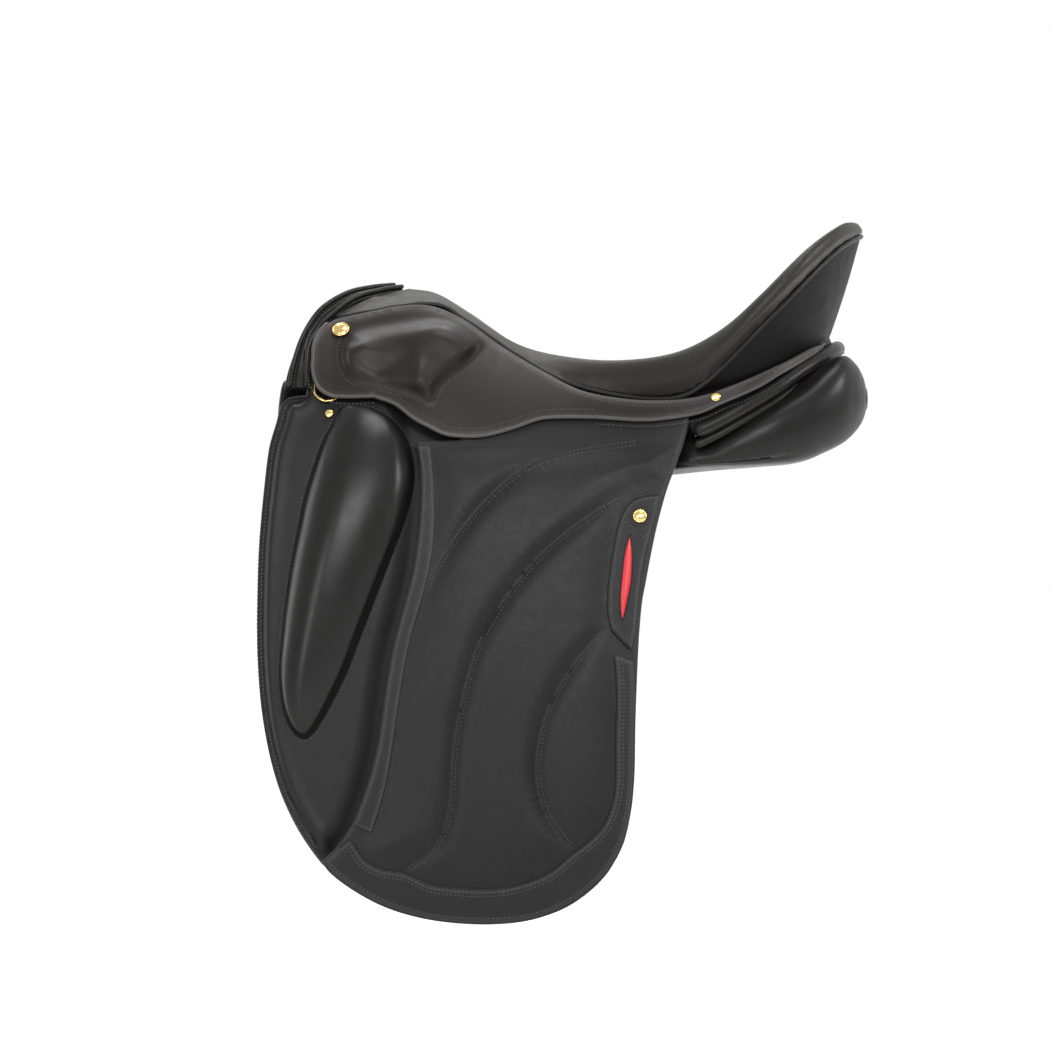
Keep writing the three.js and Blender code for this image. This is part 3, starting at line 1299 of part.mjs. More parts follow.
// The catch at the bar's open end, on a pin across the bar.
function barCatchShape() {
  const start = along(barFrontShare) + barLength - catchLength + catchGap;
  const middle = -(barPlateOut + barPlateThickness + barSlot + barThickness / 2);
  const shape = new THREE.Shape();
  const radius = barHeight / 2 - barStep / 2;
  shape.absarc(radius, 0, radius, Math.PI / 2, Math.PI * 3 / 2, false);
  shape.lineTo(catchLength - barStep, -radius);
  shape.lineTo(catchLength + barStep, radius * 1.3);
  shape.lineTo(catchLength - barStep * 2, radius * 1.5);
  shape.lineTo(catchLength / 2, radius);
  const geometry = new THREE.ExtrudeGeometry(shape, {
    depth: barThickness - barStep, bevelEnabled: false, curveSegments: 6,
  });
  const frame = new THREE.Matrix4().makeBasis(new THREE.Vector3(1, 0, 0), new THREE.Vector3(0, 0, 1),
    new THREE.Vector3(0, -1, 0));
  frame.setPosition(start, middle + (barThickness - barStep) / 2, height(barMiddleShare));
  return placed(geometry, frame);
}

// Front dee ring on its leather tab, under the skirt's front corner.
const deeWidth = 25;
const deeDrop = 22;
const deeWire = 2.6;
const deeAlongShare = 0.3275;
const deeTopShare = 0.3775;
const deeOffset = -4.4;
const tabWidth = 13;
const tabHeight = 17;
const tabThickness = 2.2;

function deeShape() {
  const shape = new THREE.Shape();
  const outerHalf = deeWidth / 2;
  shape.moveTo(-outerHalf, 0);
  shape.lineTo(-outerHalf, -deeDrop + outerHalf);
  shape.absarc(0, -deeDrop + outerHalf, outerHalf, Math.PI, Math.PI * 2, false);
  shape.lineTo(outerHalf, 0);
  shape.closePath();
  const hole = new THREE.Path();
  const innerHalf = outerHalf - deeWire;
  hole.moveTo(-innerHalf, -deeWire);
  hole.lineTo(-innerHalf, -deeDrop + outerHalf);
  hole.absarc(0, -deeDrop + outerHalf, innerHalf, Math.PI, Math.PI * 2, false);
  hole.lineTo(innerHalf, -deeWire);
  hole.closePath();
  shape.holes.push(hole);
  const geometry = new THREE.ExtrudeGeometry(shape, { depth: deeWire, bevelEnabled: false, curveSegments: 8 });
  return placed(geometry, sideFrame(along(deeAlongShare), height(deeTopShare), deeOffset));
}

function deeTabShape() {
  const geometry = new THREE.BoxGeometry(tabWidth, tabHeight, tabThickness);
  geometry.translate(0, tabHeight / 2 + trimGap, tabThickness / 2);
  return placed(geometry, sideFrame(along(deeAlongShare), height(deeTopShare), deeOffset));
}

// Girth straps and the webs they hang from.
const strapWidth = 28;
const strapFoot = 340;
const strapTop = 16;
const strapPitch = 25;
const strapHoleRadius = 3;
const strapHoles = 7;
const strapPoint = 14;
const strapHoleSides = 6;
const strapTurns = 3;
const frontStrapShare = 0.487;
const rearStrapShare = 0.556;

// A strap that follows the side surface: round top, a row of punched holes and a pointed end.
function strapShape(centreShare) {
  const centre = along(centreShare);
  const points = [];
  const triangles = [];
  const store = (x, z) => {
    [strapOuter, strapInner].forEach((offset) => points.push(sidePoint(x, z, offset)));
    return points.length - 2;
  };
  const levels = [];
  for (let turn = 0; turn < strapTurns; turn += 1) {
    const angle = (turn + 0.5) / strapTurns * Math.PI / 2;
    levels.push([strapTop - strapWidth / 2 * (1 - Math.cos(angle)), strapWidth / 2 * Math.sin(angle)]);
  }
  const firstLevel = strapTop - strapWidth / 2;
  const lastLevel = -strapFoot + strapPoint;
  const count = Math.round((firstLevel - lastLevel) / strapPitch);
  for (let step = 0; step <= count; step += 1) {
    levels.push([mix(firstLevel, lastLevel, step / count), strapWidth / 2]);
  }
  levels.push([-strapFoot, strapWidth / 5]);
  const rows = levels.map(([z, reach]) => [store(centre - reach, z), store(centre + reach, z)]);
  const face = (a, b, c) => triangles.push([a, b, c], [a + 1, c + 1, b + 1]);
  const wall = (a, b) => triangles.push([a, a + 1, b + 1], [a, b + 1, b]);
  const holeStart = rows.length - 2 - strapHoles;
  for (let row = 0; row + 1 < rows.length; row += 1) {
    const [topFront, topRear] = rows[row];
    const [lowFront, lowRear] = rows[row + 1];
    wall(topFront, lowFront);
    wall(lowRear, topRear);
    if (row >= holeStart && row < holeStart + strapHoles) {
      const [topLevel, lowLevel] = [levels[row][0], levels[row + 1][0]];
      const reach = strapWidth / 2;
      const ring = Array.from({ length: strapHoleSides }, (unused, side) => {
        const angle = side / strapHoleSides * Math.PI * 2;
        return [centre + strapHoleRadius * Math.cos(angle),
          (topLevel + lowLevel) / 2 + strapHoleRadius * Math.sin(angle)];
      });
      const ids = ring.map(([x, z]) => store(x, z));
      const frame = [[centre - reach, lowLevel], [centre + reach, lowLevel], [centre + reach, topLevel],
        [centre - reach, topLevel]];
      const vectors = (list) => list.map(([x, z]) => new THREE.Vector2(x, z));
      const corners = THREE.ShapeUtils.triangulateShape(vectors(frame), [vectors([...ring].reverse())]);
      const names = [lowFront, lowRear, topRear, topFront, ...[...ids].reverse()];
      corners.forEach(([a, b, c]) => face(names[a], names[b], names[c]));
      ids.forEach((id, side) => wall(ids[(side + 1) % ids.length], id));
    } else {
      face(lowFront, lowRear, topRear);
      face(lowFront, topRear, topFront);
    }
  }
  const [endFront, endRear] = rows[rows.length - 1];
  wall(endFront, endRear);
  wall(rows[0][1], rows[0][0]);
  return solid(points, outwardFirst(points, triangles));
}

const webWidth = 30;

// The web that carries a strap: from beside the tree's rail down between sweat flap and flap.
function girthWebShape(centreShare) {
  const centre = along(centreShare);
  const places = [-1, -0.33, 0.33, 1].map((share) => centre + share * webWidth / 2);
  const reach = webReachShare * (railEdge(centre).z - strapTop);
  const levels = [strapTop, strapTop + reach / 2, strapTop + reach];
  return flatLoft(places.map((x) => {
    const edge = railEdge(x).sub(new THREE.Vector3(0, railSideGap, 0));
    const end = edge.clone().add(new THREE.Vector3(0, 0, -webThickness));
    const low = edge.clone().add(new THREE.Vector3(0, 0, -webThickness * 3));
    const outer = levels.map((z) => sidePoint(x, z, strapOuter));
    const inner = levels.map((z) => sidePoint(x, z, strapInner + strapGap / 2));
    return [...inner, low, end, ...outer.reverse()];
  }));
}

const webReachShare = 0.62;
const railSideGap = 0.45;

// The outermost point of the tree's rail at a length along the saddle.
function railEdge(x) {
  const samples = Array.from({ length: railSamples + 1 }, (unused, number) => {
    const share = number / railSamples;
    const outer = spline(railOuterShares, share * (railOuterShares.length - 1));
    return seatPoint(share, outer, railTop).lerp(seatPoint(share, outer, railBottom), 0.5);
  });
  const after = samples.findIndex((sample) => sample.x > x);
  const [first, second] = [samples[after - 1], samples[after]];
  return first.clone().lerp(second, (x - first.x) / (second.x - first.x));
}

const railSamples = 120;

// A closed body through rings with flat ends.
function flatLoft(rings) {
  const sides = rings[0].length;
  const points = rings.flat();
  const triangles = [];
  for (let ring = 0; ring + 1 < rings.length; ring += 1) {
    for (let side = 0; side < sides; side += 1) {
      const next = (side + 1) % sides;
      const [a, b] = [ring * sides + side, ring * sides + next];
      triangles.push([a, b, b + sides], [a, b + sides, a + sides]);
    }
  }
  const flat = rings[0].map((point) => new THREE.Vector2(point.y, point.z));
  const caps = THREE.ShapeUtils.triangulateShape(flat, []);
  const end = (rings.length - 1) * sides;
  const [a, b, c] = caps[0].map((corner) => flat[corner]);
  const turn = (b.x - a.x) * (c.y - a.y) - (b.y - a.y) * (c.x - a.x);
  const ringArea = flat.reduce((sum, point, number) => {
    const next = flat[(number + 1) % flat.length];
    return sum + point.x * next.y - next.x * point.y;
  }, 0);
  const same = turn * ringArea > 0;
  for (const [first, second, third] of caps) {
    const front = same ? [first, third, second] : [first, second, third];
    triangles.push(front);
    triangles.push([front[0] + end, front[2] + end, front[1] + end]);
  }
  return solid(points, outwardFirst(points, triangles));
}

// Materials.
const leather = (colour, roughness) => new THREE.MeshStandardMaterial({ color: colour, roughness, metalness: 0 });
const seatHide = () => leather(0x3a3733, 0.5);
const flapHide = () => leather(0x2e2c2b, 0.6);
const blockHide = () => leather(0x1c1b1b, 0.45);
const trimHide = () => leather(0x35322f, 0.65);
const panelHide = () => leather(0x262423, 0.55);
const strapHide = () => leather(0x221f1d, 0.6);
const redHide = () => leather(0xc01f28, 0.35);
const foamRubber = () => leather(0xd8cfae, 0.95);
const webbing = () => leather(0xcfc6b0, 0.9);
const wood = () => leather(0xb08a58, 0.6);
const steel = () => new THREE.MeshStandardMaterial({ color: 0x9aa0a6, roughness: 0.35, metalness: 1 });
const brass = () => new THREE.MeshStandardMaterial({ color: 0xc9a24e, roughness: 0.3, metalness: 1 });

const saddle = new THREE.Group();

function add(name, geometry, material) {
  const mesh = new THREE.Mesh(geometry, material);
  mesh.name = name;
  saddle.add(mesh);
}

function addPair(name, geometry, material) {
  add(`${name}_L`, geometry, material());
  add(`${name}_R`, offSide(geometry), material());
}

add('tree', treeShape(), wood());
add('gullet_plate', gulletPlateShape(), steel());
add('seat_web', seatWebShape(), webbing());
add('seat_foam', seatFoamShape(), foamRubber());
add('seat_leather', seatLeatherShape(), seatHide());
add('seat_piping', seatPipingShape(), seatHide());
add('cantle_facing', cantleFacingShape(), seatHide());
add('pommel_facing', pommelFacingShape(), trimHide());
add('pommel_welt_outer', pommelWeltShape(weltOuterShare), trimHide());
add('pommel_welt_inner', pommelWeltShape(weltInnerShare), trimHide());
add('back_roll', backRollShape(0, backRollRadius), trimHide());
add('back_welt', backRollShape(backWeltDrop, backWeltRadius), trimHide());
addPair('skirt_head', skirtHeadShape(), seatHide);
addPair('skirt', skirtShape(), seatHide);
addPair('flap_head', flapHeadShape(), flapHide);
addPair('flap', flapShape(), flapHide);
addPair('flap_strip', flapStripShape(), trimHide);
addPair('flap_band', flapBandShape(), trimHide);
addPair('keeper', keeperShape(), trimHide);
addPair('keeper_inset', keeperInsetShape(), redHide);
addPair('keeper_stud', keeperStudShape(), brass);
addPair('skirt_stud', skirtStudShape(), brass);
addPair('tail_nail', tailNailShape(), brass);
addPair('front_nail', frontNailShape(), brass);
addPair('sweat_flap', sweatFlapShape(), flapHide);
addPair('thigh_block', blockShape(), blockHide);
addPair('panel', panelShape(), panelHide);
addPair('stirrup_bar', stirrupBarShape(), steel);
addPair('bar_catch', barCatchShape(), steel);
addPair('dee', deeShape(), brass);
addPair('dee_tab', deeTabShape(), strapHide);
addPair('girth_web_front', girthWebShape(frontStrapShare), webbing);
addPair('girth_web_rear', girthWebShape(rearStrapShare), webbing);
addPair('girth_strap_front', strapShape(frontStrapShare), strapHide);
addPair('girth_strap_rear', strapShape(rearStrapShare), strapHide);

export default saddle;
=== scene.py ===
# English dressage saddle in black leather, with brass studs, on a plain pale floor.
import math

import bmesh
import bpy
import numpy as np
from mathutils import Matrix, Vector
from mathutils.geometry import delaunay_2d_cdt


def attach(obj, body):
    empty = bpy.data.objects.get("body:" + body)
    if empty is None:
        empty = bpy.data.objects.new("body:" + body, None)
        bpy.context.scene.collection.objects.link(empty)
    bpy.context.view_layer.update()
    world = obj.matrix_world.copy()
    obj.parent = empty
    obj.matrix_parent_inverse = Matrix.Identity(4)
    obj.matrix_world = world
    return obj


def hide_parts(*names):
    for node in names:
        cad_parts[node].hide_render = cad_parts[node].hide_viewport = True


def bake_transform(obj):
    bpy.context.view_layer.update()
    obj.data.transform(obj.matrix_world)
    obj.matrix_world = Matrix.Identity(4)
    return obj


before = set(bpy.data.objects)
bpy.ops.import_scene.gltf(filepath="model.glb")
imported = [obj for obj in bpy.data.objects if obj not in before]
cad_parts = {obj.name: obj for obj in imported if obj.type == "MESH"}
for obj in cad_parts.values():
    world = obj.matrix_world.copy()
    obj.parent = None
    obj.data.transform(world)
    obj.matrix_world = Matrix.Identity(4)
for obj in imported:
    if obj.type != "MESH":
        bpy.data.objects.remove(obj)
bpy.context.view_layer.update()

print("saddle: frame loaded,", len(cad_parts), "solids")

# Sizes in millimetres, as in the solid model. Outlines are shares of a field round the side view.
saddle = {
    "seatLength": 444.5,
    "flapLength": 384.0,
    "seatHalfWidth": 148.0,
    "sideHalfWidth": 146.0,
    "hemHalfWidth": 201.0,
    "seamSpread": 70.0,
    "hemCurve": 0.4,
    "frontRollIn": 10.0,
    "frontRollSpread": 22.0,
    "rearRoundStart": 84.0,
    "rearRoundReach": 121.0,
    "flapFrontEdge": 0.257,
}
layers = {
    "skirtInner": 0.6,
    "skirtOuter": 4.2,
    "flapInner": -4.0,
    "strapOuter": -6.0,
    "strapInner": -9.8,
    "sweatOuter": -11.8,
    "sweatInner": -16.8,
    "trimGap": 0.3,
    "trim": 1.7,
}
fieldLength = saddle["seatLength"] / 0.527
fieldHeight = saddle["flapLength"] / 0.456


def along(share):
    return (np.asarray(share, float) - 0.6) * fieldLength


def height(share):
    return (0.467 - np.asarray(share, float)) * fieldHeight


def half(share):
    return np.asarray(share, float) * saddle["seatHalfWidth"]


def smooth(value):
    share = np.clip(value, 0, 1)
    return share * share * (3 - 2 * share)


def mix(first, second, share):
    return first + (second - first) * share


def unit(vectors):
    return vectors / np.maximum(np.linalg.norm(vectors, axis=-1, keepdims=True), 1e-9)


# height of a quarter circle over its width
def quarterRound(share):
    return np.sqrt(1 - (1 - np.clip(share, 0, 1)) ** 2)


def lengthsAlong(path):
    return np.concatenate([[0], np.cumsum(np.linalg.norm(np.diff(path, axis=0), axis=1))])


# near side points from a table with a share along, a share down and a half width in each row
def stationPoint(table, place):
    x, z, y = [splineAt(table[:, column], place) for column in range(3)]
    return np.stack([along(x), -half(y), height(z)], -1)


# smooth value through a row of stations; a table with one row per place is read row by row
def splineAt(values, place):
    values = np.asarray(values, float)
    place = np.asarray(place, float)
    last = values.shape[-1] - 1
    index = np.clip(np.floor(place).astype(int), 0, last - 1)

    def pick(number):
        number = np.clip(number, 0, last)
        return values[number] if values.ndim == 1 else np.take_along_axis(values, number[:, None], 1)[:, 0]

    share = place - index
    first, second = pick(index), pick(index + 1)
    before = np.where(index > 0, pick(index - 1), first * 2 - second)
    after = np.where(index + 2 <= last, pick(index + 2), second * 2 - first)
    slope, slopeAfter = (second - before) / 2, (after - first) / 2
    squared, cubed = share ** 2, share ** 3
    return ((2 * cubed - 3 * squared + 1) * first + (cubed - 2 * squared + share) * slope
            + (3 * squared - 2 * cubed) * second + (cubed - squared) * slopeAfter)


# a smooth path through given points, cut into equal steps
def smoothPath(points, pitch):
    points = np.asarray(points, float)
    padded = np.vstack([2 * points[0] - points[1], points, 2 * points[-1] - points[-2]])
    gaps = np.maximum(np.linalg.norm(np.diff(padded, axis=0), axis=1), 1e-9) ** 0.5
    turn = np.linspace(0, 1, 24, endpoint=False)[:, None]
    pieces = []
    for number in range(len(points) - 1):
        before, start, end, after = padded[number:number + 4]
        gapBefore, gap, gapAfter = gaps[number:number + 3]
        slope = (end - start) / gap
        leave = ((start - before) / gapBefore - (end - before) / (gapBefore + gap) + slope) * gap
        arrive = (slope - (after - start) / (gap + gapAfter) + (after - end) / gapAfter) * gap
        pieces.append((2 * turn ** 3 - 3 * turn ** 2 + 1) * start + (turn ** 3 - 2 * turn ** 2 + turn) * leave
                      + (3 * turn ** 2 - 2 * turn ** 3) * end + (turn ** 3 - turn ** 2) * arrive)
    return resampled(np.vstack(pieces + [points[-1:]]), pitch)


def resampled(line, pitch, steps=None):
    lengths = lengthsAlong(line)
    steps = steps or max(2, int(round(lengths[-1] / pitch)))
    places = np.linspace(0, lengths[-1], steps + 1)
    return np.stack([np.interp(places, lengths, line[:, axis]) for axis in range(line.shape[1])], 1)


def sideLine(shares, pitch=2.5):
    shares = np.asarray(shares, float)
    return smoothPath(np.stack([along(shares[:, 0]), height(shares[:, 1])], 1), pitch)


def outlineOf(lines, pitch=2.5):
    return np.vstack([sideLine(line, pitch)[:-1] for line in lines])


# distance from points to a line, and how far along the line the nearest place is
def nearest(line, points, closed=False):
    starts = line if closed else line[:-1]
    steps = (np.roll(line, -1, 0) if closed else line[1:]) - starts
    least = np.full(len(points), np.inf)
    where = np.zeros(len(points))
    done = 0.0
    for start, step in zip(starts, steps):
        length = math.hypot(*step)
        share = np.clip((points - start) @ step / max(length * length, 1e-12), 0, 1)
        distance = np.linalg.norm(points - start - share[:, None] * step, axis=1)
        closer = distance < least
        least[closer] = distance[closer]
        where[closer] = done + share[closer] * length
        done += length
    return least, where


def distanceTo(line, x, z, closed=False):
    x, z = np.broadcast_arrays(x, z)
    return nearest(line, np.stack([x.ravel(), z.ravel()], 1), closed)[0].reshape(x.shape)


def isInside(outline, points):
    inside = np.zeros(len(points), bool)
    for (x0, z0), (x1, z1) in zip(outline, np.roll(outline, -1, 0)):
        if z0 == z1:
            continue
        crosses = (z0 > points[:, 1]) != (z1 > points[:, 1])
        inside ^= crosses & (points[:, 0] < x0 + (x1 - x0) * (points[:, 1] - z0) / (z1 - z0))
    return inside


def signedArea(outline):
    after = np.roll(outline, -1, 0)
    return float((outline[:, 0] * after[:, 1] - after[:, 0] * outline[:, 1]).sum() / 2)


# Side surface: the flaps hang from the seam under the seat.
skirtTopShares = np.array([
    [0.333, 0.314, 0.405], [0.360, 0.308, 0.405], [0.400, 0.300, 0.405], [0.430, 0.300, 0.412],
    [0.460, 0.312, 0.436], [0.500, 0.340, 0.500], [0.540, 0.364, 0.574], [0.580, 0.384, 0.649],
    [0.620, 0.392, 0.716], [0.660, 0.394, 0.797], [0.700, 0.391, 0.831], [0.740, 0.380, 0.824],
    [0.780, 0.361, 0.716], [0.810, 0.345, 0.507], [0.826, 0.337, 0.284], [0.833, 0.334, 0.000],
])


def seamAt(x, column):
    place = np.interp(x, along(skirtTopShares[:, 0]), np.arange(len(skirtTopShares)))
    return splineAt(skirtTopShares[:, column], place)


def hangHalf(x, z):
    drop = -z / saddle["flapLength"]
    widen = saddle["hemHalfWidth"] - saddle["sideHalfWidth"]
    curve = np.where(drop > 0, widen * saddle["hemCurve"] * drop * drop, 0)
    rollIn = saddle["frontRollIn"] * np.exp((along(saddle["flapFrontEdge"]) - x) / saddle["frontRollSpread"])
    behind = np.maximum(0, x - saddle["rearRoundStart"]) / saddle["rearRoundReach"]
    wide = saddle["sideHalfWidth"] + widen * (1 + saddle["hemCurve"]) * drop - curve - rollIn
    return wide * np.sqrt(np.maximum(0, 1 - behind * behind))


def sideHalf(x, z):
    seam = height(seamAt(x, 1))
    drawnIn = np.maximum(0, hangHalf(x, seam) - half(seamAt(x, 2)))
    return hangHalf(x, z) - drawnIn * np.exp((np.minimum(z, seam) - seam) / saddle["seamSpread"])


# points on the near side, moved out from the side surface by an offset
def sidePoint(x, z, offset):
    x, z, offset = np.broadcast_arrays(np.asarray(x, float), np.asarray(z, float), np.asarray(offset, float))
    slopeX = (sideHalf(x + 2, z) - sideHalf(x - 2, z)) / 4
    slopeZ = (sideHalf(x, z + 2) - sideHalf(x, z - 2)) / 4
    normal = unit(np.stack([-slopeX, -np.ones_like(x), -slopeZ], -1))
    return np.stack([x, -sideHalf(x, z), z], -1) + normal * offset[..., None]


def addObject(name, data):
    made = bpy.data.objects.new(name, data)
    bpy.context.scene.collection.objects.link(made)
    return made


# Meshes: points in millimetres and faces become one object in metres.
pieceCount = 0


def makeObject(name, points, faces, materials, faceMaterial=None, wearAndHighlight=None, angle=55):
    global pieceCount
    mesh = bpy.data.meshes.new(name)
    mesh.from_pydata((np.asarray(points) / 1000).tolist(), [], faces)
    for material in materials:
        mesh.materials.append(material)
    if faceMaterial is not None:
        mesh.polygons.foreach_set("material_index", np.asarray(faceMaterial, np.int32))
    mesh.polygons.foreach_set("use_smooth", np.ones(len(mesh.polygons), bool))
    mesh.set_sharp_from_angle(angle=math.radians(angle))
    # point attribute for the lighter edge colour: partly rubbed dye, partly painted highlight
    if wearAndHighlight is not None:
        mesh.attributes.new("wearAndHighlight", "FLOAT", "POINT").data.foreach_set("value", np.asarray(wearAndHighlight, np.float32))
    mesh.update()
    pieceCount += 1
    return addObject(name, mesh)


def cleaned(points, faces, tags=None):
    keys = np.round(np.asarray(points), 3)
    unused, first, back = np.unique(keys, axis=0, return_index=True, return_inverse=True)
    back = back.ravel()
    kept, keptTags = [], []
    for number, face in enumerate(faces):
        corners = [int(back[corner]) for corner in face]
        corners = [corner for place, corner in enumerate(corners) if corner != corners[place - 1]]
        if len(set(corners)) > 2:
            kept.append(corners)
            keptTags.append(0 if tags is None else tags[number])
    return np.asarray(points)[first], kept, keptTags


def merged(parts):
    points, faces, tags, shift = [], [], [], 0
    for part in parts:
        points.append(part[0])
        faces += [[corner + shift for corner in face] for face in part[1]]
        tags += [part[2]] * len(part[1]) if len(part) > 2 else [0] * len(part[1])
        shift += len(part[0])
    return np.vstack(points), faces, tags


def gridFaces(rows, columns, closed=False, shift=0):
    faces = []
    for row in range(rows - 1):
        for column in range(columns if closed else columns - 1):
            after = (column + 1) % columns
            faces.append([shift + row * columns + column, shift + row * columns + after,
                          shift + (row + 1) * columns + after, shift + (row + 1) * columns + column])
    return faces


# a round cord along a path, with rounded ends; ribs are small gathers along it
def tube(path, radius, sides=12, closed=False, rib=0.0, ribPitch=4.0, flat=1.0):
    path = np.asarray(path, float)
    count = len(path)
    after = np.roll(path, -1, 0) if closed else np.vstack([path[1:], 2 * path[-1] - path[-2]])
    before = np.roll(path, 1, 0) if closed else np.vstack([2 * path[0] - path[1], path[:-1]])
    heading = unit(after - before)
    side = np.cross(heading[0], [0, 0, 1.0])
    if np.linalg.norm(side) < 0.2:
        side = np.cross(heading[0], [0, 1.0, 0])
    sideways = []
    for direction in heading:
        side = unit(side - direction * (side @ direction))
        sideways.append(side)
    sideways = np.array(sideways)
    upward = np.cross(heading, sideways)
    lengths = lengthsAlong(path)
    radii = radius * (1 + rib * np.sin(lengths / ribPitch * 2 * math.pi))
    if not closed:
        fromEnd = np.minimum(lengths, lengths[-1] - lengths)
        radii = radii * np.maximum(quarterRound(fromEnd / radius), 0.0447)
    angles = np.arange(sides) / sides * 2 * math.pi
    ring = (np.cos(angles)[None, :, None] * sideways[:, None, :]
            + flat * np.sin(angles)[None, :, None] * upward[:, None, :])
    points = (path[:, None, :] + ring * radii[:, None, None]).reshape(-1, 3)
    faces = gridFaces(count, sides, closed=True)
    if closed:
        last = (count - 1) * sides
        offsetBest = int(np.argmin(np.linalg.norm(points[:sides] - points[last], axis=1)))
        for number in range(sides):
            nextOne = (number + 1) % sides
            faces.append([last + number, last + nextOne, (nextOne + offsetBest) % sides,
                          (number + offsetBest) % sides])
    else:
        faces.append(list(range(sides))[::-1])
        faces.append(list(range((count - 1) * sides, count * sides)))
    return points, faces


# near and off halves of rows whose last one lies on the centre plane
def bothHalves(near):
    return np.concatenate([near, near[-2::-1] * [1, -1, 1]], 0)


def acrossCentre(near):
    near = np.array(near, float)
    near[-1, ..., 1] = 0
    return bothHalves(near)


# directions into a closed outline from its corners
def inwardOf(outline):
    inward = np.roll(outline, -1, 0) - np.roll(outline, 1, 0)
    return unit(np.stack([-inward[:, 1], inward[:, 0]], 1)) * np.sign(signedArea(outline))


# dense triangles inside an outline, with rings near its edge so that the rim can be rounded
def filled(outline, pitch, rings, holes=()):
    loops = [outline] + list(holes)
    spots, edges, shift = [], [], 0
    for loop in loops:
        spots.append(loop)
        edges += [(shift + n, shift + (n + 1) % len(loop)) for n in range(len(loop))]
        shift += len(loop)
    extra = []
    for loop in loops:
        inward = inwardOf(loop) * (1 if loop is outline else -1)
        for distance in rings:
            extra.append(np.column_stack([loop + inward * distance, np.full(len(loop), distance * 0.93)]))
    # rows of a triangle grid, each place nudged a little so that the triangles come out one way
    low, high = outline.min(0), outline.max(0)
    rowHeight = pitch * math.sqrt(3) / 2
    for row, level in enumerate(np.arange(low[1], high[1], rowHeight)):
        across = np.arange(low[0] + (row % 2) * pitch / 2, high[0], pitch)
        wobble = pitch * 0.06 * np.sin(across * 12.9 + row * 7.7)
        extra.append(np.column_stack([across + wobble, np.full(len(across), level),
                                      np.full(len(across), (rings[-1] if len(rings) else 0) + pitch * 0.55)]))
    extra = np.vstack(extra)
    distance = np.min([nearest(loop, extra[:, :2], True)[0] for loop in loops], axis=0)
    keep = (distance >= extra[:, 2]) & isInside(outline, extra[:, :2])
    for hole in holes:
        keep &= ~isInside(hole, extra[:, :2])
    spots = np.vstack(spots + [extra[keep][:, :2]])
    corners = delaunay_2d_cdt([tuple(spot) for spot in spots], edges, [], 0, 1e-6)
    spots = np.array([tuple(spot) for spot in corners[0]])
    triangles = np.array([face for face in corners[2] if len(face) == 3])
    middle = spots[triangles].mean(1)
    inside = isInside(outline, middle)
    for hole in holes:
        inside &= ~isInside(hole, middle)
    triangles = triangles[inside]
    a, b, c = spots[triangles[:, 0]], spots[triangles[:, 1]], spots[triangles[:, 2]]
    turn = (b[:, 0] - a[:, 0]) * (c[:, 1] - a[:, 1]) - (b[:, 1] - a[:, 1]) * (c[:, 0] - a[:, 0])
    triangles[turn < 0] = triangles[turn < 0][:, ::-1]
    return spots, triangles, loops


# a leather sheet on the side surface between two offsets, with rounded rims along its free edges
def sheetOf(outline, outer, inner, pitch=3.0, rim=1.8, rings=(0.25, 0.8, 1.8), holes=(), free=None):
    spots, triangles, loops = filled(outline, pitch, rings, holes)
    x, z = spots[:, 0], spots[:, 1]
    rimLines = [(line, False) for line in free] if free is not None else [(loop, True) for loop in loops]
    toRim = np.min([nearest(line, spots, closed)[0] for line, closed in rimLines], axis=0)
    top = outer(x, z) * np.ones(len(x))
    low = inner(x, z) * np.ones(len(x))
    sunk = (top - low) / 2 * (1 - quarterRound(toRim / rim))
    points = np.vstack([sidePoint(x, z, top - sunk), sidePoint(x, z, low + sunk)])
    count = len(spots)
    faces = [list(map(int, face)) for face in triangles]
    faces += [[int(a) + count, int(c) + count, int(b) + count] for a, b, c in triangles]
    pairs = {}
    for a, b, c in triangles:
        for start, end in ((a, b), (b, c), (c, a)):
            pairs[(int(start), int(end))] = True
    for start, end in list(pairs):
        if (end, start) not in pairs:
            faces.append([start, start + count, end + count, end])
    points, faces, unused = cleaned(points, faces)
    flat = points[:, [0, 2]]
    # mask for the lighter edge colour near free edges: partly rubbed dye, partly painted highlight
    wearAndHighlight = np.exp(-np.min([nearest(line, flat, closed)[0] for line, closed in rimLines], axis=0) / 1.6)
    return points, faces, wearAndHighlight


# Materials: colours are sRGB hex values, pattern sizes are in millimetres.
def linear(hexColour):
    channels = [int(hexColour[place:place + 2], 16) / 255 for place in (1, 3, 5)]
    return [c / 12.92 if c <= 0.04045 else ((c + 0.055) / 1.055) ** 2.4 for c in channels] + [1.0]


# one node of a material or the world, with its settings; a socket as input makes a link
def addNode(owner, kind, inputs=None, **settings):
    made = owner.node_tree.nodes.new(kind)
    for name, value in settings.items():
        setattr(made, name, value)
    for name, value in (inputs or {}).items():
        if isinstance(value, bpy.types.NodeSocket):
            owner.node_tree.links.new(value, made.inputs[name])
        else:
            made.inputs[name].default_value = value
    return made


def perMetre(millimetres):
    return 1000.0 / millimetres


def startMaterial(name):
    material = bpy.data.materials.new(name)
    material.use_nodes = True
    return material, material.node_tree.nodes["Principled BSDF"], material.node_tree.links.new
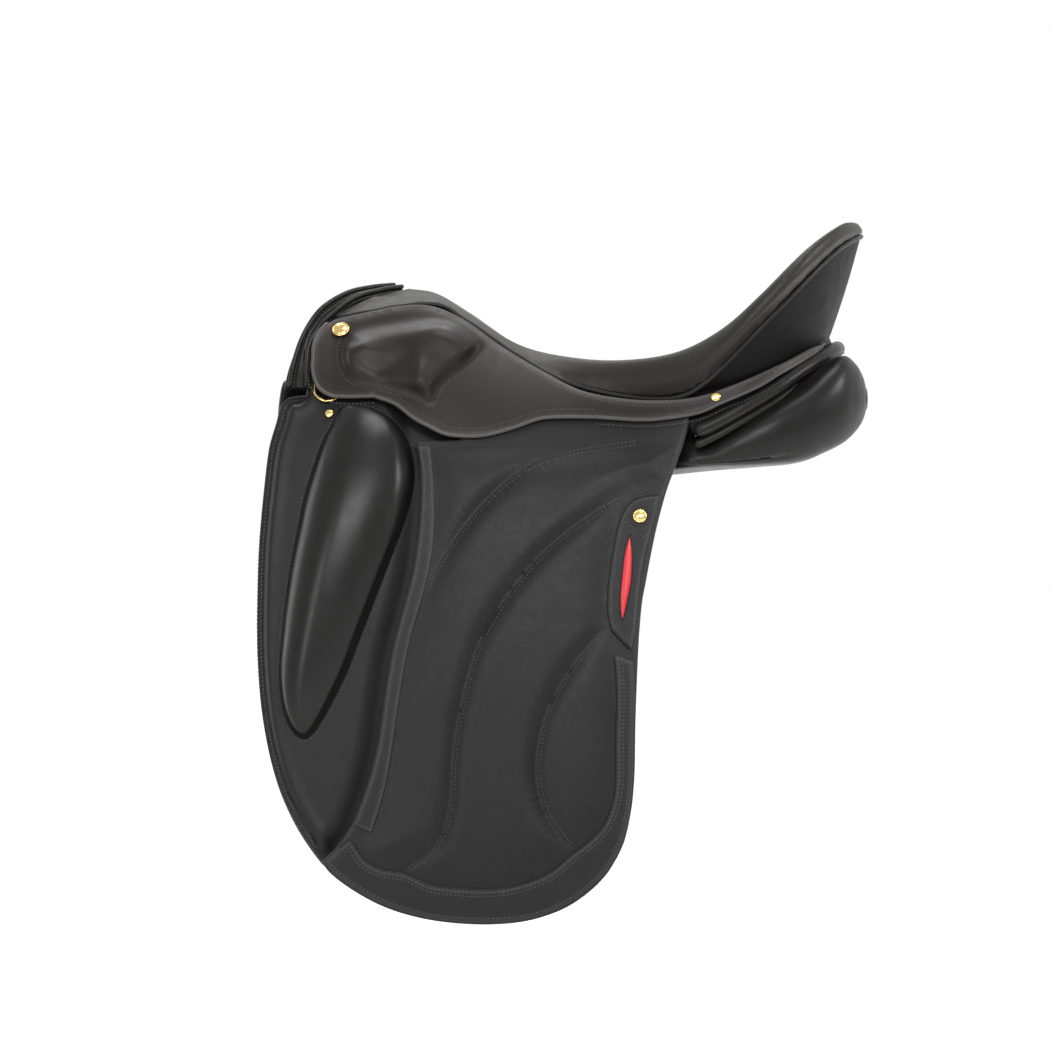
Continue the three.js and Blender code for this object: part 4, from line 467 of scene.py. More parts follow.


# Chrome-tanned hide, drum dyed, with a light finish. The eye sees a soft sheen, fine pebbles and slow
# creases; a point attribute lightens the colour along cut edges, partly as rubbed dye, partly as painted
# highlight.
def leather(name, look):
    material, shader, link = startMaterial(name)
    place = addNode(material, "ShaderNodeTexCoord").outputs["Object"]
    # real pores are 0.8 to 1.2 mm apart; drawn coarser so that they show
    pebble = addNode(material, "ShaderNodeTexVoronoi", {"Vector": place, "Scale": perMetre(look["grain"])},
                     feature="DISTANCE_TO_EDGE")
    domed = addNode(material, "ShaderNodeMapRange", {"Value": pebble.outputs["Distance"], "From Max": 0.22},
                    interpolation_type="SMOOTHSTEP")
    fine = addNode(material, "ShaderNodeTexNoise", {"Vector": place, "Scale": perMetre(look["crease"]),
                                                   "Detail": 4.0, "Roughness": 0.6})
    slow = addNode(material, "ShaderNodeTexNoise", {"Vector": place, "Scale": perMetre(look["cloud"]),
                                                   "Detail": 2.0})
    grainBump = addNode(material, "ShaderNodeBump", {"Height": domed.outputs["Result"],
                                                     "Strength": look["grainBump"], "Distance": 0.0004})
    creaseBump = addNode(material, "ShaderNodeBump", {"Height": fine.outputs["Fac"],
                                                      "Normal": grainBump.outputs[0],
                                                      "Strength": look["creaseBump"], "Distance": 0.0012})
    shade = addNode(material, "ShaderNodeMix", {"Factor": slow.outputs["Fac"], "A": linear(look["dark"]),
                                                "B": linear(look["light"])}, data_type="RGBA")
    # edge mask: lighter colour along cut edges, partly rubbed dye, partly painted highlight
    wearAndHighlightNode = addNode(material, "ShaderNodeAttribute", attribute_name="wearAndHighlight")
    wornAndHighlitColour = addNode(material, "ShaderNodeMix", {"Factor": wearAndHighlightNode.outputs["Fac"], "A": shade.outputs["Result"],
                                                 "B": linear(look["edge"])}, data_type="RGBA")
    gloss = addNode(material, "ShaderNodeMapRange", {"Value": fine.outputs["Fac"], "From Min": 0.3,
                                                     "From Max": 0.7, "To Min": look["rough"] - 0.05,
                                                     "To Max": look["rough"] + 0.05})
    link(wornAndHighlitColour.outputs["Result"], shader.inputs["Base Color"])
    link(gloss.outputs["Result"], shader.inputs["Roughness"])
    link(creaseBump.outputs["Normal"], shader.inputs["Normal"])
    shader.inputs["IOR"].default_value = look["ior"]
    shader.inputs["Coat Weight"].default_value = look["coat"]
    shader.inputs["Coat Roughness"].default_value = 0.3
    return material


# each look's edge colour goes on along cut edges: partly rubbed dye, partly painted edge highlight
leatherLooks = {
    # seat hide: soft calf, matt, a little browner where it is stretched
    "seatCalf": {"dark": "#161413", "light": "#1f1c1a", "edge": "#34302c", "rough": 0.47, "grain": 2.4,
                 "grainBump": 0.10, "crease": 9.0, "creaseBump": 0.05, "cloud": 60.0,
                 "coat": 0.0, "ior": 1.33},
    # skirt hide: the same calf over firm backing, warm black
    "skirtCalf": {"dark": "#181514", "light": "#201c1b", "edge": "#5a5552", "rough": 0.42, "grain": 2.2,
                  "grainBump": 0.08, "crease": 8.0, "creaseBump": 0.04, "cloud": 45.0,
                  "coat": 0.0, "ior": 1.28},
    # flap hide: grained cowhide, cool black
    "flapCowhide": {"dark": "#141415", "light": "#1c1c1d", "edge": "#3a3a3a", "rough": 0.44, "grain": 2.2,
                    "grainBump": 0.16, "crease": 7.0, "creaseBump": 0.06, "cloud": 40.0,
                    "coat": 0.0, "ior": 1.26},
    # block hide: drawn tight over the block, so it shines more; its colour is painted darker than the flap
    # hide as shade
    "blockCalf": {"dark": "#0f0e0e", "light": "#151413", "edge": "#262422", "rough": 0.33, "grain": 2.6,
                  "grainBump": 0.05, "crease": 11.0, "creaseBump": 0.05, "cloud": 50.0,
                  "coat": 0.1, "ior": 1.26},
    # trim: edge-dyed strips with polished edges, whose lighter edge colour is partly rubbed dye and partly
    # painted highlight
    "trimBridle": {"dark": "#131212", "light": "#1b1a19", "edge": "#55514e", "rough": 0.38, "grain": 1.8,
                   "grainBump": 0.14, "crease": 6.0, "creaseBump": 0.05, "cloud": 30.0,
                   "coat": 0.05, "ior": 1.24},
    # cantle back: the same calf with painted shade, darker because this face leans down under the cantle, and
    # duller
    "cantleShadedCalf": {"dark": "#0b0a0a", "light": "#110f0f", "edge": "#1a1817", "rough": 0.5, "grain": 2.4,
                   "grainBump": 0.08, "crease": 12.0, "creaseBump": 0.07, "cloud": 55.0,
                   "coat": 0.0, "ior": 1.17},
    # panels: soft calf over flock
    "panelCalf": {"dark": "#0f0e0e", "light": "#161514", "edge": "#2a2826", "rough": 0.36, "grain": 2.4,
                  "grainBump": 0.08, "crease": 12.0, "creaseBump": 0.07, "cloud": 55.0,
                  "coat": 0.05, "ior": 1.26},
    # girth straps: waxed bridle butt
    "strapButt": {"dark": "#1d1815", "light": "#29221d", "edge": "#4a3f36", "rough": 0.40, "grain": 1.6,
                  "grainBump": 0.10, "crease": 6.0, "creaseBump": 0.04, "cloud": 35.0,
                  "coat": 0.05, "ior": 1.3},
    # red inset: patent calf
    "redPatent": {"dark": "#b80d19", "light": "#c81422", "edge": "#d02a32", "rough": 0.34, "grain": 2.4,
                  "grainBump": 0.05, "crease": 9.0, "creaseBump": 0.03, "cloud": 30.0,
                  "coat": 0.1, "ior": 1.4},
}
hides = {name: leather(name, look) for name, look in leatherLooks.items()}


# Bonded polyester thread with a wax finish: dark beads with a small bright spot each.
def thread(name, dark, light):
    material, shader, link = startMaterial(name)
    place = addNode(material, "ShaderNodeTexCoord").outputs["Object"]
    # plies of the thread are 0.25 mm apart; drawn at 0.5 mm
    twist = addNode(material, "ShaderNodeTexNoise", {"Vector": place, "Scale": perMetre(0.5)})
    shade = addNode(material, "ShaderNodeMix", {"Factor": twist.outputs["Fac"], "A": linear(dark),
                                                "B": linear(light)}, data_type="RGBA")
    link(shade.outputs["Result"], shader.inputs["Base Color"])
    shader.inputs["Roughness"].default_value = 0.42
    return material


# Metals keep the default IOR; the finish is in the roughness and the tiny marks.
def metal(name, look):
    material, shader, link = startMaterial(name)
    place = addNode(material, "ShaderNodeTexCoord").outputs["Object"]
    marks = addNode(material, "ShaderNodeTexNoise", {"Vector": place, "Scale": perMetre(look["marks"]),
                                                    "Detail": 3.0})
    shade = addNode(material, "ShaderNodeMix", {"Factor": marks.outputs["Fac"], "A": linear(look["dark"]),
                                                "B": linear(look["light"])}, data_type="RGBA")
    gloss = addNode(material, "ShaderNodeMapRange", {"Value": marks.outputs["Fac"],
                                                     "To Min": look["rough"] - 0.07,
                                                     "To Max": look["rough"] + 0.07})
    bump = addNode(material, "ShaderNodeBump", {"Height": marks.outputs["Fac"], "Strength": look["bump"],
                                                "Distance": 0.0002})
    link(shade.outputs["Result"], shader.inputs["Base Color"])
    link(gloss.outputs["Result"], shader.inputs["Roughness"])
    link(bump.outputs["Normal"], shader.inputs["Normal"])
    shader.inputs["Metallic"].default_value = 1.0
    return material


# Polished cast brass gives a warm, clear glint. The head's plate is stove blacked, so it stays dark in its
# hollow. Forged steel is bead blasted: grey, with a soft broad gleam.
brass = metal("castBrass", {"dark": "#bd9c58", "light": "#dcc288", "rough": 0.2, "marks": 3.0, "bump": 0.04})
blackSteel = metal("blackenedSteel", {"dark": "#202122", "light": "#303133", "rough": 0.45, "marks": 1.5,
                                      "bump": 0.12})
steel = metal("forgedSteel", {"dark": "#8b9096", "light": "#a9adb1", "rough": 0.36, "marks": 1.5,
                              "bump": 0.12})
seamThread = thread("waxedThread", "#211f1e", "#45423f")


# Beech veneers glued in a press: long grain lines 1.5 mm apart, drawn at 3 mm, under a thin varnish.
def laminatedBeech():
    material, shader, link = startMaterial("laminatedBeech")
    place = addNode(material, "ShaderNodeTexCoord").outputs["Object"]
    long = addNode(material, "ShaderNodeMapping", {"Vector": place, "Scale": (0.12, 1.0, 1.0)})
    grain = addNode(material, "ShaderNodeTexNoise", {"Vector": long.outputs["Vector"], "Scale": perMetre(3.0),
                                                    "Detail": 5.0})
    shade = addNode(material, "ShaderNodeMix", {"Factor": grain.outputs["Fac"], "A": linear("#8f6a3f"),
                                                "B": linear("#c9a06c")}, data_type="RGBA")
    bump = addNode(material, "ShaderNodeBump", {"Height": grain.outputs["Fac"], "Strength": 0.15,
                                                "Distance": 0.0003})
    link(shade.outputs["Result"], shader.inputs["Base Color"])
    link(bump.outputs["Normal"], shader.inputs["Normal"])
    shader.inputs["Roughness"].default_value = 0.45
    return material


# Woven polyester web: ribs 1.6 mm apart across it, drawn at 2.4 mm.
def wovenWeb(name, dark, light):
    material, shader, link = startMaterial(name)
    place = addNode(material, "ShaderNodeTexCoord").outputs["Object"]
    ribs = [addNode(material, "ShaderNodeTexWave", {"Vector": place, "Scale": perMetre(2.4) / 6.283,
                                                    "Distortion": 0.6}, bands_direction=direction)
            for direction in ("X", "Z")]
    crossed = addNode(material, "ShaderNodeMath", {0: ribs[0].outputs["Fac"], 1: ribs[1].outputs["Fac"]},
                      operation="MULTIPLY")
    shade = addNode(material, "ShaderNodeMix", {"Factor": crossed.outputs[0], "A": linear(dark),
                                                "B": linear(light)}, data_type="RGBA")
    bump = addNode(material, "ShaderNodeBump", {"Height": crossed.outputs[0], "Strength": 0.5,
                                                "Distance": 0.0004})
    link(shade.outputs["Result"], shader.inputs["Base Color"])
    link(bump.outputs["Normal"], shader.inputs["Normal"])
    shader.inputs["Roughness"].default_value = 0.85
    shader.inputs["Sheen Weight"].default_value = 0.2
    return material


beech = laminatedBeech()
girthWeb = wovenWeb("girthWebbing", "#8d826b", "#c9bfa6")
wadding = wovenWeb("seatWadding", "#6b675f", "#8f8a80")
print("saddle: materials made")

# Seat, cantle and tree layers, all from one surface.
# each row: centre along and down, crest along, down and half width, seam along, down and half width
seatStationShares = np.array([
    [0.4080, 0.286, 0.370, 0.296, 0.284, 0.334, 0.314, 0.405],
    [0.436, 0.291, 0.432, 0.295, 0.257, 0.428, 0.300, 0.412],
    [0.470, 0.311, 0.468, 0.313, 0.270, 0.466, 0.317, 0.446],
    [0.520, 0.344, 0.520, 0.344, 0.351, 0.516, 0.351, 0.527],
    [0.570, 0.359, 0.572, 0.357, 0.500, 0.566, 0.378, 0.622],
    [0.620, 0.367, 0.625, 0.360, 0.662, 0.622, 0.392, 0.716],
    [0.667, 0.366, 0.678, 0.352, 0.838, 0.672, 0.394, 0.824],
    [0.706, 0.352, 0.722, 0.329, 0.966, 0.708, 0.377, 0.926],
    [0.738, 0.334, 0.762, 0.293, 1.000, 0.752, 0.333, 0.966],
    [0.768, 0.311, 0.806, 0.249, 0.865, 0.796, 0.287, 0.865],
    [0.788, 0.293, 0.842, 0.223, 0.541, 0.838, 0.246, 0.568],
    [0.796, 0.285, 0.858, 0.221, 0.000, 0.865, 0.230, 0.000],
])
# how far each station rolls over its crest
rollShares = [0, 0, 0, 0.1, 0.3, 0.6, 0.9, 1, 1, 1, 1, 1]
stationCount = len(seatStationShares) - 1


def seatControls(place, depth):
    def at(column):
        values = list(seatStationShares[:, column])
        return splineAt(values + [-values[-2] if column in (4, 7) else values[-2]], place)

    roll = np.clip(splineAt(rollShares, place), 0, 1)
    centre = np.stack([along(at(0)), np.zeros_like(roll), height(at(1))], 1)
    crest = np.stack([along(at(2)), -half(at(4)), height(at(3))], 1)
    seam = np.stack([along(at(5)), -half(at(7)), height(at(6))], 1)
    inward = centre - crest
    inward[:, 2] = 0
    inward = unit(inward)
    between = []
    rear = smooth((place - 8.5) / 2)
    for share, dish in ((0.5, 0.22 + 0.12 * rear), (0.8, 0.7 + 0.05 * rear)):
        point = mix(centre, crest, share)
        point[:, 2] = mix(centre[:, 2], crest[:, 2], mix(share, dish, roll))
        between.append(point)
    bulge = 0.34 * mix(0.3, 1, roll) * np.abs(crest[:, 2] - seam[:, 2])
    outermost = (crest + seam) / 2 - inward * bulge[:, None]
    inwardShares = [0, 0.05, 0.15, mix(0.3, 0.6, roll), mix(0.4, 1, roll), mix(0.5, 0.85, roll)]
    downShares = [1, 1, 1, mix(0.95, 0.8, roll), mix(0.9, 0.1, roll), mix(0.85, -0.5, roll)]
    # a layer under the leather lies in and down from it, and more in than down where the seat rolls over
    controls = []
    places = [centre] + between + [crest, outermost, seam]
    for point, moveIn, moveDown in zip(places, inwardShares, downShares):
        step = inward * (moveIn * np.ones_like(roll))[:, None]
        step[:, 2] -= moveDown * np.ones_like(roll)
        controls.append(point + step * np.asarray(depth * np.ones_like(roll))[:, None])
    return np.stack(controls, 1)


def seatPoint(alongShare, acrossShare, depth=0.0):
    alongShare, acrossShare, depth = np.broadcast_arrays(*[np.asarray(v, float) for v in
                                                           (alongShare, acrossShare, depth)])
    controls = seatControls(alongShare.ravel() * stationCount, depth.ravel())
    opposite = controls[:, 1:2] * [1, -1, 1]
    controls = np.concatenate([opposite, controls], 1)
    place = acrossShare.ravel() * 5 + 1
    return np.stack([splineAt(controls[:, :, axis], place) for axis in range(3)], 1).reshape(
        alongShare.shape + (3,))


# foot of the cantle's back, on the rear stations of the skirt's top
def facingFoot(share):
    return stationPoint(skirtTopShares, mix(9.6, 15, (share - 0.6) / 0.4))


# a line one step below the seat's seam, towards the skirt and further back towards the cantle's foot
def seamStep(share, distance):
    seam = seatPoint(share, 1.0)
    below = seam[:, 2] - 20
    side = np.stack([seam[:, 0], -sideHalf(seam[:, 0], below), below], 1)
    turn = smooth((share * stationCount - 6.4) / 1.2)[:, None]
    return seam + unit(unit(side - seam) * (1 - turn) + unit(facingFoot(share) - seam) * turn) * distance


# a closed sheet between two grids
def slab(outside, inside):
    rows, columns = outside.shape[:2]
    count = rows * columns
    points = np.vstack([outside.reshape(-1, 3), inside.reshape(-1, 3)])
    faces = gridFaces(rows, columns) + gridFaces(rows, columns, shift=count)
    edge = [row * columns for row in range(rows)] + [(rows - 1) * columns + c for c in range(1, columns)]
    edge += [row * columns + columns - 1 for row in range(rows - 2, -1, -1)] + list(range(columns - 2, 0, -1))
    for number, corner in enumerate(edge):
        after = edge[(number + 1) % len(edge)]
        faces.append([corner, after, after + count, corner + count])
    return points, faces


def outwardFaces(piece):
    body = bmesh.new()
    body.from_mesh(piece.data)
    bmesh.ops.recalc_face_normals(body, faces=body.faces)
    body.to_mesh(piece.data)
    body.free()
    return piece


def addPiece(name, part, materials, body, replaced=(), wearAndHighlight=None, tags=None, angle=55):
    piece = makeObject(name, part[0], part[1], materials, tags, wearAndHighlight, angle)
    outwardFaces(piece)
    if replaced:
        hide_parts(*replaced)
    if isinstance(body, str):
        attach(piece, body)
    else:
        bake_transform(piece)
    return piece


# the same piece on the near and the off side
def addBoth(name, part, materials, body, replaced=(), wearAndHighlight=None, tags=None, angle=55):
    pieces = []
    for letter, side, turn in (("L", "near", 1), ("R", "off", -1)):
        points = np.asarray(part[0]) * [1, turn, 1]
        if isinstance(body, str):
            carried = body.replace("SIDE", side)
        else:
            ends = [np.asarray(place) * [1, turn, 1] for place in body[2:]]
            carried = (body[0], body[1].replace("SIDE", side), ends[0], ends[1])
        pieces.append(addPiece(f"{name}_{letter}", (points, part[1]), materials, carried,
                               [f"{node}_{letter}" for node in replaced], wearAndHighlight, tags, angle))
    return pieces


seatLook = {"rows": 170, "across": 44, "tighten": 1.25, "leather": 2.2, "depth": 7.0, "foamGap": 0.5,
            "foamEdge": 0.97, "seamLength": 520, "gather": 0.3, "gatherPitch": 15.0, "gatherReach": 0.10,
            "fill": 0.75}


# a place under the seat's leather, straight in from the surface
def seatInside(alongShare, acrossShare, depth):
    step = 0.004
    behind = seatPoint(np.minimum(alongShare + step, 1), acrossShare)
    before = seatPoint(np.maximum(alongShare - step, 0), acrossShare)
    outer = seatPoint(alongShare, np.minimum(acrossShare + step, 1))
    inner = seatPoint(alongShare, np.maximum(acrossShare - step, -step))
    inward = unit(np.cross(outer - inner, behind - before))
    return seatPoint(alongShare, acrossShare) - inward * depth[:, None]


def buildSeat():
    look = seatLook
    # each column: share across, depth under the surface, and hide 0 or wadding 1
    across = 1 - (1 - np.linspace(0, 1, look["across"] + 1)) ** look["tighten"]
    columns = [(a, 0.0, 0) for a in across] + [(1.0, 0.9, 0), (1.0, look["leather"], 0)]
    columns += [(look["foamEdge"], look["leather"] + look["foamGap"], 1),
                (look["foamEdge"], look["depth"] * 0.7, 1)]
    columns += [(look["foamEdge"] * a, look["depth"], 1) for a in across[::-1]]
    shares = np.linspace(0, 1, look["rows"])
    u = np.repeat(shares, len(columns))
    v = np.tile([column[0] for column in columns], len(shares))
    depth = np.tile([column[1] for column in columns], len(shares))
    pull = look["gather"] * np.sin(u * look["seamLength"] / look["gatherPitch"] * 2 * math.pi)
    depth = depth + np.where(depth < 1, pull * np.exp(-(((1 - v) / look["gatherReach"]) ** 2)), 0)
    near = np.where((depth > look["leather"])[:, None], seatInside(u, v, depth), seatPoint(u, v, depth))
    near[(v == 0) | (u == 1), 1] = 0
    faces = gridFaces(len(shares), len(columns))
    tags = [columns[min(n % (len(columns) - 1) + 1, len(columns) - 1)][2] for n in range(len(faces))]
    top, last = look["across"], len(columns) - 1
    faces += [[n, n + 1, last - n - 1, last - n] for n in range(top)]
    faces.append(list(range(top, last - top + 1)))
    tags += [1] * (top + 1)
    count = len(near)
    points = np.vstack([near, near * [1, -1, 1]])
    points[np.abs(points[:, 1]) < 1e-6, 1] = 0
    faces = faces + [[corner + count for corner in face] for face in faces]
    points, faces, tags = cleaned(points, faces, tags + tags)
    seat = addPiece("seat", (points, faces), [hides["seatCalf"], wadding], "saddle",
                    ["seat_leather", "seat_foam"], tags=tags)


buildSeat()


def seamLine(step, count=240, first=0.0, last=1.0):
    return seamStep(np.linspace(first, last, count), step)


def wholeCord(name, near, radius, material, replaced=(), sides=14, flat=1.0):
    part = tube(acrossCentre(near), radius, sides, flat=flat)
    return addPiece(name, part, [material], "saddle", replaced, angle=70)


# stitches: small waxed beads partly sunk in the leather, one bead per stitch
stitchLook = {"pitch": 3.4, "length": 2.5, "width": 0.42, "slant": 0.16, "sunk": 0.12}


def beads(path, outward):
    look = stitchLook
    path = np.asarray(path, float)
    lengths = lengthsAlong(path)
    count = max(1, int(lengths[-1] / look["pitch"]))
    places = (np.arange(count) + 0.5) * lengths[-1] / count

    def at(values, where):
        return np.stack([np.interp(where, lengths, values[:, axis]) for axis in range(3)], 1)

    centre = at(path, places)
    heading = unit(at(path, places + 0.6) - at(path, places - 0.6))
    normal = unit(at(np.asarray(outward, float), places))
    across = np.cross(normal, heading)
    heading = unit(heading + across * look["slant"])
    across = np.cross(normal, heading)
    centre = centre - normal * look["sunk"]
    reach, width = look["length"] / 2, look["width"]
    angles = np.arange(5) / 5 * 2 * math.pi
    ring = np.cos(angles)[None, :, None] * across[:, None] + np.sin(angles)[None, :, None] * normal[:, None]
    front = centre[:, None] + heading[:, None] * reach * 0.55 + ring * width
    rear = centre[:, None] - heading[:, None] * reach * 0.55 + ring * width
    tips = [centre + heading * reach - normal * width * 0.7, centre - heading * reach - normal * width * 0.7]
    points = np.concatenate([rear, front, tips[1][:, None], tips[0][:, None]], 1).reshape(-1, 3)
    faces = []
    for stitch in range(count):
        first = stitch * 12
        for side in range(5):
            after = (side + 1) % 5
            faces.append([first + side, first + after, first + 5 + after, first + 5 + side])
            faces.append([first + 10, first + after, first + side])
            faces.append([first + 11, first + 5 + side, first + 5 + after])
    return points, faces


def sideBeads(line, offset):
    x, z = line[:, 0], line[:, 1]
    level = offset(x, z) * np.ones(len(x))
    on = sidePoint(x, z, level)
    return beads(on, sidePoint(x, z, level + 2) - on)


# rows of stitches as one piece per side
def addStitches(name, rows, body="saddle"):
    addBoth(name, merged(rows), [seamThread], body, angle=80)


# a line moved sideways in the side view; positive moves to the left of its direction
def beside(line, distance):
    ahead = np.vstack([line[1:], 2 * line[-1] - line[-2]]) - np.vstack([2 * line[0] - line[1], line[:-1]])
    ahead = unit(ahead)
    return line + np.stack([-ahead[:, 1], ahead[:, 0]], 1) * distance


piping = {"radius": 2.2, "pitch": 3.15}
wholeCord("seat_cord", seamLine(piping["pitch"]), piping["radius"], hides["trimBridle"],
          ["seat_piping"])

# leather lining of the head: from under the seat's front edge, below the pommel band, round the gullet
# plate and back; each row has a share, then x, y and z of the tree's front edge and y and z of the arch
liningRows = np.array([
    [0.00, -250, 103, 52, 71, 66], [0.12, -246, 96, 70, 73, 72], [0.25, -238, 82, 92, 72, 84],
    [0.38, -228, 70, 108, 68, 97], [0.50, -216, 58, 120, 61, 104.5], [0.62, -205, 46, 128, 51, 109.5],
    [0.75, -192, 33, 134, 37, 113], [0.88, -175, 16, 138, 18, 115], [1.00, -163, 0, 139, 0, 115.5],
])
lining = {"thickness": 1.4, "front": -207.0, "plateTop": 5.5, "middle": -170.0, "rear": -128.0, "fall": 6.0,
          "tuck": 9.0}


def thickened(rows, thickness):
    ahead, outward = np.gradient(rows, axis=0), np.gradient(rows, axis=1)
    inside = rows - unit(np.cross(ahead, outward)) * thickness
    inside[-1, :, 1] = 0
    return slab(acrossCentre(rows), acrossCentre(inside))


def buildLining():
    rows = []
    for share in np.linspace(0, 1, 46):
        x, y, z, archY, archZ = [np.interp(share, liningRows[:, 0], liningRows[:, column])
                                 for column in range(1, 6)]
        inner = pommelEdge(pommelInnerShares, share)
        top = archZ + lining["plateTop"]
        front = min(lining["front"], x + 8)
        path = [[inner[0] + lining["tuck"], inner[1], inner[2] - 9], [inner[0] - 2, inner[1], inner[2] - 4.5],
                [x, -y, z - 1], [mix(x, front, 0.5), -mix(y, archY, 0.5), mix(z, top, 0.55)],
                [front, -archY, top], [front - 2.0, -archY, mix(top, archZ, 0.5)], [front, -archY, archZ],
                [lining["middle"], -archY, archZ - lining["fall"] * 0.4],
                [lining["rear"], -archY, archZ - lining["fall"]]]
        rows.append(resampled(smoothPath(np.array(path), 4), 4, steps=40))
    rows = np.array(rows)
    rows[-1, :, 1] = 0
    addPiece("gullet_lining", thickened(rows, lining["thickness"]), [hides["panelCalf"]], "saddle")


backRollShares = np.array([
    [0.694, 0.4325, 0.892], [0.715, 0.4232, 0.872], [0.740, 0.4092, 0.845], [0.770, 0.3914, 0.765],
    [0.796, 0.3735, 0.640], [0.818, 0.3593, 0.480], [0.834, 0.350, 0.260], [0.840, 0.347, 0.000],
])
facing = {"first": 0.575, "lift": 0.02, "bow": -0.012, "thickness": 2.4, "under": 2.6}  # shares, then mm


def buildFacing():
    share = np.linspace(facing["first"], 1, 110)
    seam = seatPoint(share, 1.0)
    middle = seatPoint(share, 0.0)
    inward = middle - seam
    inward[:, 2] = 0
    inward = unit(inward)
    top = seamStep(share, piping["pitch"] * 2)
    low = mix(facingFoot(share), seam, facing["lift"])
    down = np.linspace(0, 1, 26)[None, :, None]
    tall = np.linalg.norm(top - low, axis=1)[:, None, None]
    outside = mix(top[:, None], low[:, None], down)
    bow = facing["bow"] * tall * np.sin(math.pi * down)
    outside = outside + inward[:, None] * bow
    roll = stationPoint(backRollShares, np.linspace(0, len(backRollShares) - 1, len(share)))
    down = np.linspace(0, 1, 14)[None, 1:, None]
    under = mix(low[:, None], roll[:, None], down)
    under = under + inward[:, None] * facing["under"] * np.sin(math.pi * np.clip(down * 1.6, 0, 0.5))
    outside = np.concatenate([outside, under], 1)
    inside = outside + inward[:, None] * facing["thickness"]
    part = slab(acrossCentre(outside), acrossCentre(inside))
    # the cantle back uses the calf with painted shade
    addPiece("cantle_back", part, [hides["cantleShadedCalf"]], "saddle", ["cantle_facing"])


buildFacing()

pommelShares = np.array([
    [0.2835, 0.388, 0.716], [0.2885, 0.366, 0.635], [0.2970, 0.342, 0.520], [0.3075, 0.320, 0.412],
    [0.3235, 0.3010, 0.325], [0.3455, 0.2905, 0.222], [0.3700, 0.2860, 0.110], [0.389, 0.2845, 0.000],
])
pommelInnerShares = np.array([
    [0.3105, 0.388, 0.716], [0.3105, 0.368, 0.660], [0.311, 0.350, 0.580], [0.317, 0.336, 0.490],
    [0.327, 0.322, 0.420], [0.3535, 0.301, 0.305], [0.3810, 0.2915, 0.175], [0.4025, 0.2875, 0.000],
])
pommel = {"thickness": 2.2, "crown": 0.9, "weltRadius": 2.0, "weltLift": 2.5, "rib": 1.6, "ribReach": 0.13,
          "rim": 0.08, "weltsAt": {"outer": 0.2, "inner": 0.8}, "stitchesAt": (0.34, 0.66),
          "stitchLift": 0.45}


def pommelEdge(shares, share):
    return stationPoint(shares, np.asarray(share, float) * (len(shares) - 1))


def pommelOutward(share):
    outer, inner = pommelEdge(pommelShares, share), pommelEdge(pommelInnerShares, share)
    step = np.where(share > 0.5, -0.01, 0.01)
    besideOuter = pommelEdge(pommelShares, share + step) - outer
    outward = unit(np.cross(besideOuter, inner - outer))
    outward = outward * np.where(outward[:, 2:] > 0, 1, -1)
    fromCentre = smooth((1 - share) / 0.06)
    outward[:, 1] *= fromCentre
    return unit(outward)


def buildPommel():
    share = np.linspace(0, 1, 90)
    outward = pommelOutward(share)
    outer, inner = pommelEdge(pommelShares, share), pommelEdge(pommelInnerShares, share)
    across = np.linspace(0, 1, 25)[None, :, None]
    rise = pommel["crown"] * np.sin(math.pi * across) ** 0.6
    rise = rise + pommel["rib"] * np.exp(-(((across - 0.5) / pommel["ribReach"]) ** 2))
    edge = 1 - quarterRound(np.minimum(across, 1 - across) / pommel["rim"])
    band = mix(outer[:, None], inner[:, None], across)
    outside = band + outward[:, None] * (rise - edge)
    inside = band - outward[:, None] * (pommel["thickness"] - edge * 0.6)
    part = slab(acrossCentre(outside), acrossCentre(inside))
    addPiece("pommel_band", part, [hides["trimBridle"]], "saddle", ["pommel_facing"])
    for name, place in pommel["weltsAt"].items():
        path = mix(outer, inner, place) + outward * pommel["weltLift"]
        wholeCord(f"pommel_roll_{name}", path, pommel["weltRadius"], hides["trimBridle"],
                  [f"pommel_welt_{name}"])
    lines = []
    for place in pommel["stitchesAt"]:
        path = mix(outer, inner, place) + outward * (pommel["crown"] + pommel["stitchLift"])
        lines.append(beads(acrossCentre(path), bothHalves(outward)))
    addPiece("pommel_stitches", merged(lines), [seamThread], "saddle", angle=80)
    buildLining()


buildPommel()

backRoll = {"radius": 6.6, "weltRadius": 3.6, "weltDrop": 11.1, "stitchOut": 0.93, "stitchDown": 0.52,
            "centre": 0.70}


def buildBackRolls():
    look = backRoll
    near = smoothPath(stationPoint(backRollShares, np.arange(len(backRollShares))), 2.5)
    wholeCord("rear_roll", near, look["radius"], hides["trimBridle"], ["back_roll"], 18)
    wholeCord("rear_welt", near - [0, 0, look["weltDrop"]], look["weltRadius"], hides["trimBridle"],
              ["back_welt"])
    outward = unit((near - [float(along(look["centre"])), 0, 0]) * [1, 1.5, 0])
    path = near + outward * look["radius"] * look["stitchOut"] - [0, 0, look["radius"] * look["stitchDown"]]
    addPiece("rear_roll_stitches", beads(bothHalves(path), bothHalves(outward)), [seamThread], "saddle",
             angle=80)


buildBackRolls()
print("saddle: seat, piping, pommel and cantle made")

